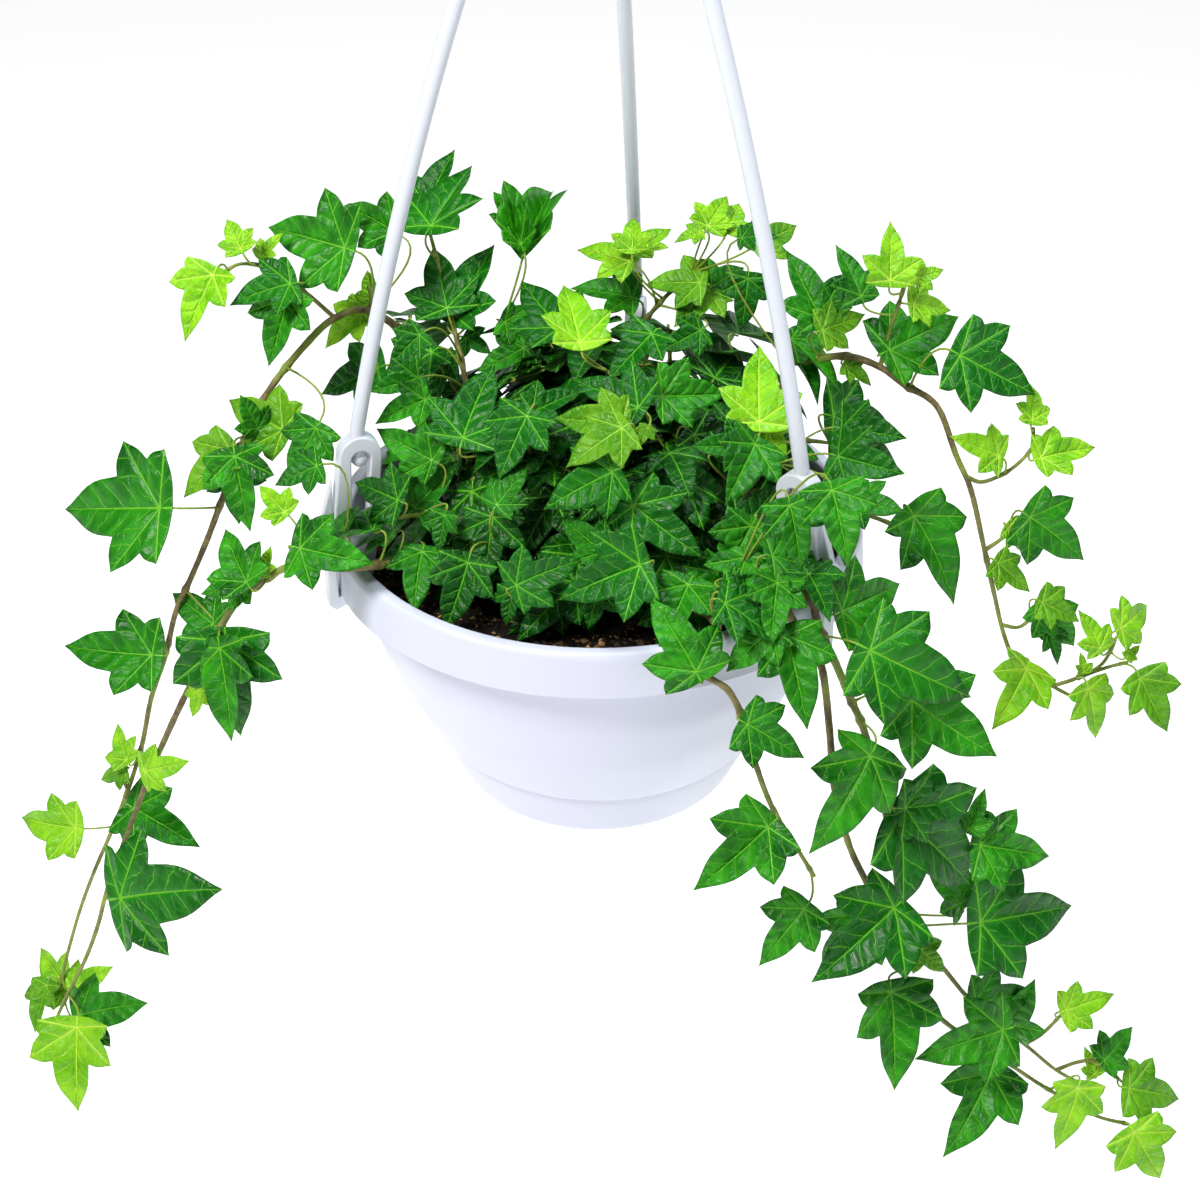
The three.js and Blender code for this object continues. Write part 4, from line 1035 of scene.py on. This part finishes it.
def make_crown(materials):
    draw = np.random.default_rng(CROWN_SEED)
    leaves = leaves_in(CROWN)
    for leaf in leaves:
        # Tones past 1 paint shade on the head's own leaves
        leaf.youth, leaf.tone = youth_of(leaf), draw.uniform(*CROWN_TONE_AND_SHADE)
        leaf.fold = FOLDED if is_folded(leaf) else 0.0
    stems = crown_stems(draw)
    stems += high_shoots(leaves, stems)
    inner = inner_leaves(draw)
    outer = more_leaves(CROWN, draw)
    for leaf in outer:
        leaf.tone = draw.uniform(*OUTER_TONE)
    batch = Batch()
    knots = [[] for _ in stems]
    for leaf in leaves + outer + inner:
        nearest = [nearest_on(line[4:], leaf.base - UP * 14 * MM) for line in stems]
        gaps = [np.linalg.norm(place - leaf.base) for place, _ in nearest]
        chosen = int(np.argmin(gaps))
        leaf.foot, along = nearest[chosen]
        knots[chosen].append(along)
        add_stalk(batch, leaf)
    for line, places in zip(stems, knots):
        add_stem(batch, line, CROWN_STEM_THICK, CROWN_STEM_THIN, places, draw, 0.1)
    layers = {"leaves": (FINE_LEAF, leaves), "outer_leaves": (FINE_LEAF, outer),
              "inner_leaves": (INNER_LEAF, inner)}
    for layer, (shape, members) in layers.items():
        make_leaves(f"ivy_crown_{layer}", shape, members, draw, materials["leaf"], CROWN)
    finish_piece(batch.make("ivy_crown_stems", materials["bark"], "youth"), "ivy_foliage", CROWN)


# Turned forms
def rounded(profile, radius, steps=4):
    """A profile with each inner corner rounded."""
    points = [np.array(point, dtype=float) for point in profile]
    line = [points[0]]
    for before, corner, after in zip(points, points[1:], points[2:]):
        back, on = before - corner, after - corner
        cut = min(radius, 0.45 * np.linalg.norm(back), 0.45 * np.linalg.norm(on))
        start, end = corner + unit(back) * cut, corner + unit(on) * cut
        line.extend(bezier(start, corner, end, steps))
    line.append(points[-1])
    return line


def turned(profile, steps):
    """A closed form turned about Z from a profile of radius and height, from axis to axis."""
    ring = [point for point in profile if point[0] > 1e-6]
    points = [(0, 0, profile[0][1])]
    for step in range(steps):
        turn = 2 * math.pi * step / steps
        points.extend((r * math.cos(turn), r * math.sin(turn), z) for r, z in ring)
    points.append((0, 0, profile[-1][1]))
    size, last = len(ring), len(points) - 1
    faces = []
    for step in range(steps):
        a, b = 1 + step * size, 1 + (step + 1) % steps * size
        faces.append((0, b, a))
        faces.extend((a + k, b + k, b + k + 1, a + k + 1) for k in range(size - 1))
        faces.append((a + size - 1, b + size - 1, last))
    return np.array(points), faces


POT_STEPS = 160
POT_DEPTH, FOOT_RADIUS, STEP_HEIGHT, STEP_RADIUS = 146, 72, 34, 85
BAND_RADIUS, BAND_HEIGHT, RIM_RADIUS, MOUTH_RADIUS, WALL = 127, 21, 125, 117, 2.4


def pot_profile():
    foot = -POT_DEPTH
    step = foot + STEP_HEIGHT
    band = -BAND_HEIGHT
    outside = [
        (0, foot), (FOOT_RADIUS - 8, foot), (FOOT_RADIUS - 1, foot + 4), (STEP_RADIUS - 3.4, step - 5),
        (STEP_RADIUS - 2, step), (STEP_RADIUS + 1, step + 2), (100, foot + 66), (110, foot + 94),
        (115.5, band - 2), (115.5, band), (BAND_RADIUS, band), (BAND_RADIUS - 0.6, band + 3),
        (RIM_RADIUS, -3), (RIM_RADIUS - 1.5, -0.6), (RIM_RADIUS - 3, 0), (MOUTH_RADIUS + 1.4, 0),
        (MOUTH_RADIUS, -1.4),
    ]
    inside = [
        (113, band - 4), (107.4, foot + 94), (97.4, foot + 66), (STEP_RADIUS - 4, step),
        (FOOT_RADIUS - 6, foot + 5 + WALL), (FOOT_RADIUS - 12, foot + WALL + 0.6), (0, foot + WALL + 0.6),
    ]
    line = rounded(outside + inside, 5.0)
    return [(r * MM, RIM_Z + z * MM) for r, z in line]


# Drain holes: how many, their radius, how far from the axis, and how far the cut reaches up and down
DRAINS, DRAIN_RADIUS, DRAIN_CIRCLE, DRAIN_REACH = 4, 4, 45, 6
SHARP_TURN = math.radians(40)


def cut_drains(piece, material):
    """Cut the drain holes through the pot's floor."""
    drills = Batch()
    for i in range(DRAINS):
        out = outward((i + 0.5) * 2 * math.pi / DRAINS)
        middle = RIM_MIDDLE + (out * DRAIN_CIRCLE - UP * POT_DEPTH) * MM
        ends = [middle - UP * DRAIN_REACH * MM, middle + UP * DRAIN_REACH * MM]
        drills.add(*tube(ends, DRAIN_RADIUS * MM, 24))
    drill = drills.make("drill", material)
    cut = piece.modifiers.new("drains", "BOOLEAN")
    cut.operation = "DIFFERENCE"
    cut.object = drill
    bpy.context.view_layer.update()
    mesh = bpy.data.meshes.new_from_object(piece.evaluated_get(bpy.context.evaluated_depsgraph_get()))
    piece.modifiers.clear()
    piece.data = mesh
    mesh.set_sharp_from_angle(angle=SHARP_TURN)
    bpy.data.objects.remove(drill)


def make_pot(material):
    points, faces = turned(pot_profile(), POT_STEPS)
    piece = make_object("pot_moulding", points, faces, material)
    cut_drains(piece, material)
    finish_piece(piece, "pot_plastic", "pot")


SOIL_RINGS = 46
SOIL_STEPS = 150
SOIL_REACH = 112.5 * MM
SOIL_GRAIN = 0.45 * MM
# Below its top the soil narrows with the pot: radius and height from the rim, in millimetres
SOIL_SIDE = [(104, -52), (79, -112), (58, WALL + 0.9 - POT_DEPTH)]


def soil_height(x, y):
    """Gentle heaps in the soil, in metres."""
    slow = np.sin(41 * x + 1.3) * np.cos(53 * y + 0.4) + 0.6 * np.sin(97 * x - 61 * y)
    return 1.3 * MM * slow + 0.5 * MM * np.sin(310 * x + 2) * np.sin(290 * y)


def make_soil(material, crumb):
    draw = np.random.default_rng(SOIL_SEED)
    turns = np.arange(SOIL_STEPS) * 2 * math.pi / SOIL_STEPS
    part = np.arange(1, SOIL_RINGS + 1)[:, None] / SOIL_RINGS
    x, y = SOIL_REACH * part * np.cos(turns), SOIL_REACH * part * np.sin(turns)
    edge = np.minimum(1.0, (1 - part) * 8)
    top = SOIL_Z + edge * (soil_height(x, y) + draw.normal(0, SOIL_GRAIN, x.shape))
    points = [[(0, 0, SOIL_Z + soil_height(0, 0))], np.stack([x, y, top], axis=2).reshape(-1, 3)]
    for reach, z in SOIL_SIDE:
        level = RIM_MIDDLE + UP * z * MM
        points.append([level + outward(turn) * reach * MM for turn in turns])
    points = np.concatenate([*points, [level]])
    rings = SOIL_RINGS + len(SOIL_SIDE)
    last, end = 1 + (rings - 1) * SOIL_STEPS, len(points) - 1
    faces = [(0, 1 + s, 1 + (s + 1) % SOIL_STEPS) for s in range(SOIL_STEPS)]
    faces += [(a, d, c, b) for a, b, c, d in ring_faces(rings, SOIL_STEPS, 1)]
    faces += [(last + s, end, last + (s + 1) % SOIL_STEPS) for s in range(SOIL_STEPS)]
    finish_piece(make_object("soil_fill", points, faces, material), "potting_soil", "soil")
    finish_piece(soil_crumbs(draw, crumb), "potting_soil", "soil")


CRUMBS = 5600
CRUMB_REACH = 111 * MM
CRUMB_SIZE = 0.35, 0.85
CRUMB_SHAPE = [(1, 0, 0), (0, 1, 0), (-1, 0, 0), (0, -1, 0), (0, 0, 1), (0, 0, -1)]
CRUMB_FACES = [(0, 1, 4), (1, 2, 4), (2, 3, 4), (3, 0, 4), (1, 0, 5), (2, 1, 5), (3, 2, 5), (0, 3, 5)]


def soil_crumbs(draw, material):
    batch = Batch()
    for _ in range(CRUMBS):
        turn, reach = draw.uniform(0, 2 * math.pi), CRUMB_REACH * math.sqrt(draw.uniform())
        x, y = reach * math.cos(turn), reach * math.sin(turn)
        size = draw.uniform(*CRUMB_SIZE) * MM * (1 + 1.6 * draw.uniform() ** 6)
        shape = np.array(CRUMB_SHAPE) * draw.uniform(0.6, 1.5, (6, 1)) * size * np.array([1.5, 1, 0.7])
        spin = draw.uniform(0, 2 * math.pi)
        turned_shape = np.stack([
            shape[:, 0] * math.cos(spin) - shape[:, 1] * math.sin(spin),
            shape[:, 0] * math.sin(spin) + shape[:, 1] * math.cos(spin),
            shape[:, 2] + 0.3 * draw.normal() * shape[:, 0],
        ], axis=1)
        place = np.array([x, y, SOIL_Z + soil_height(x, y) + 0.3 * size])
        batch.add(turned_shape + place, CRUMB_FACES, draw.uniform())
    return batch.make("soil_crumbs", material, "shade", smooth=False)


# Hanger: rods, rim clips and hook, in millimetres, and the clips' places round the rim in degrees
CLIPS = {"left": 200, "right": 320, "back": 80}
CLIP_RADIUS, CLIP_TOP, ROD_RADIUS, ROD_BOW = 112, 58, 3.3, 9
HANG_DROP = 400
HUB_Z, SOCKET_DEPTH, ROD_HEAD_RADIUS = HANG_DROP - 54, 14, 6.4
KNOB_RADIUS, KNOB_Z = 3.9, CLIP_TOP - 12


def turned_to(angle, r, across, z):
    """A point given by radius, distance across and height above the rim, in millimetres, at an angle."""
    angle = math.radians(angle)
    x = r * math.cos(angle) - across * math.sin(angle)
    y = r * math.sin(angle) + across * math.cos(angle)
    return np.array([x * MM, y * MM, RIM_Z + z * MM])


def ball(radius, middle, rings=10, steps=16):
    profile = [(radius * math.sin(math.pi * k / rings), -radius * math.cos(math.pi * k / rings))
               for k in range(rings + 1)]
    profile[0], profile[-1] = (0, -radius), (0, radius)
    points, faces = turned(profile, steps)
    return points + middle, faces


def make_rods(material):
    for name, angle in CLIPS.items():
        foot = np.array([CLIP_RADIUS, CLIP_TOP + 2.0])
        head = np.array([ROD_HEAD_RADIUS, HUB_Z + SOCKET_DEPTH - 1.0])
        along = unit(head - foot)
        belly = (foot + head) / 2 + np.array([along[1], -along[0]]) * 2 * ROD_BOW
        line = bezier(foot, belly, head, 36)
        line = np.concatenate([[[foot[0], KNOB_Z], [foot[0], KNOB_Z + 9]], line])
        batch = Batch()
        batch.add(*tube([turned_to(angle, r, 0, z) for r, z in line], ROD_RADIUS * MM, 20))
        batch.add(*ball(KNOB_RADIUS * MM, turned_to(angle, CLIP_RADIUS, 0, KNOB_Z)))
        finish_piece(batch.make(f"rod_{name}", material), "hanger_plastic", f"hanger_rod_{name}")


def arc(r, z, radius, start, end, steps):
    turns = np.radians(np.linspace(start, end, steps + 1))
    return [(r + radius * math.cos(turn), z + radius * math.sin(turn)) for turn in turns]


CLIP_THICK, TAB_THICK, CLIP_EDGE, RUNNING_GAP = 9, 4, 0.7, 0.3
ARCH_RADIUS, SLOT_RADIUS = 9.5, 4.4


def clip_outlines():
    outer = RIM_RADIUS + 2.4
    under_band = -BAND_HEIGHT - RUNNING_GAP
    arch_z = CLIP_TOP - ARCH_RADIUS
    arch = [
        (MOUTH_RADIUS + 1.2, RUNNING_GAP), (RIM_RADIUS - 0.4, RUNNING_GAP), (outer + 0.2, -3),
        (outer + 0.2, under_band),
        (outer - 6, under_band), (outer - 6, under_band - 4), (outer + 2, under_band - 7),
        (outer + 5, under_band - 4), (outer + 4.4, -6), (outer - 0.5, 16),
        *arc(CLIP_RADIUS, arch_z, ARCH_RADIUS, 0, 180, 20),
        (MOUTH_RADIUS - 9.5, 8), (MOUTH_RADIUS - 6.4, -12.5), (MOUTH_RADIUS - 3.2, -12.5),
        (MOUTH_RADIUS - 0.9, -1),
    ]
    slot = arc(CLIP_RADIUS, arch_z - 1.5, SLOT_RADIUS, 0, 180, 14)
    slot += [(CLIP_RADIUS - 0.6, 9), (CLIP_RADIUS + 7, 9)]
    tab = [(outer - 2, 38), *arc(outer + 1, 12, 8.5, 68, -62, 20), (outer + 2, -14)]
    return arch, slot, tab


def plate(outlines, thick, angle):
    """A flat plate with rounded edges, cut from outlines of radius and height and turned to its angle."""
    curve = bpy.data.curves.new("plate", "CURVE")
    curve.dimensions = "2D"
    curve.fill_mode = "BOTH"
    curve.extrude = (thick / 2 - CLIP_EDGE) * MM
    curve.bevel_depth = CLIP_EDGE * MM
    curve.bevel_resolution = 2
    curve.offset = -CLIP_EDGE * MM
    for outline in outlines:
        spline = curve.splines.new("POLY")
        spline.points.add(len(outline) - 1)
        spline.points.foreach_set("co", np.array([(r * MM, z * MM, 0, 1) for r, z in outline]).ravel())
        spline.use_cyclic_u = True
    holder = bpy.data.objects.new("plate", curve)
    bpy.context.scene.collection.objects.link(holder)
    bpy.context.view_layer.update()
    mesh = bpy.data.meshes.new_from_object(holder.evaluated_get(bpy.context.evaluated_depsgraph_get()))
    bpy.data.objects.remove(holder)
    flat = np.array([v.co for v in mesh.vertices])
    faces = [tuple(face.vertices) for face in mesh.polygons]
    bpy.data.meshes.remove(mesh)
    points = np.array([turned_to(angle, x / MM, -z / MM, y / MM) for x, y, z in flat])
    return points, faces


def make_clips(material):
    arch, slot, tab = clip_outlines()
    for name, angle in CLIPS.items():
        batch = Batch()
        batch.add(*plate([arch, slot], CLIP_THICK, angle))
        batch.add(*plate([tab], TAB_THICK, angle))
        piece = batch.make(f"clip_{name}", material, smooth=False)
        finish_piece(piece, "hanger_plastic", f"rim_clip_{name}")


HUB_HEIGHT, HUB_RADIUS, HUB_TOP_RADIUS = 22, 12.5, 7
HOOK_RADIUS, HOOK_WIRE = 13, 3.6
HOOK_Z = HANG_DROP - HOOK_RADIUS + HOOK_WIRE


def make_hook(material):
    profile = [(0, 0), (HUB_RADIUS - 1, 0), (HUB_RADIUS, 1.5), (HUB_RADIUS - 0.5, 12),
               (HUB_TOP_RADIUS, HUB_HEIGHT - 2), (HUB_TOP_RADIUS - 2, HUB_HEIGHT), (0, HUB_HEIGHT)]
    hub = [(r * MM, RIM_Z + (HUB_Z + z) * MM) for r, z in rounded(profile, 1.5)]
    shank = [(0, HUB_Z + HUB_HEIGHT - 4), (0, HUB_Z + HUB_HEIGHT + 2), (0, HOOK_Z - HOOK_RADIUS - 8)]
    line = shank + arc(0, HOOK_Z, HOOK_RADIUS, -65, 175, 20)
    wire = smooth_line([np.array([x * MM, 0, RIM_Z + z * MM]) for x, z in line], 3)
    batch = Batch()
    batch.add(*turned(hub, 64))
    batch.add(*tube(wire, HOOK_WIRE * MM, 16))
    finish_piece(batch.make("hook_moulding", material), "hanger_plastic", "hanger_hook")


def make_all():
    bpy.context.scene.view_settings.view_transform = "Standard"
    make_camera()
    make_surroundings()
    hanger = plastic_material("hanger_plastic", HANGER_TINT)
    materials = {"leaf": leaf_material(), "bark": bark_material()}
    make_pot(plastic_material("pot_plastic", POT_TINT))
    make_soil(soil_material(), crumb_material())
    make_rods(hanger)
    make_clips(hanger)
    make_hook(hanger)
    for number, node in enumerate(TRAILS):
        make_trail(node, number, materials)
    make_crown(materials)


make_all()
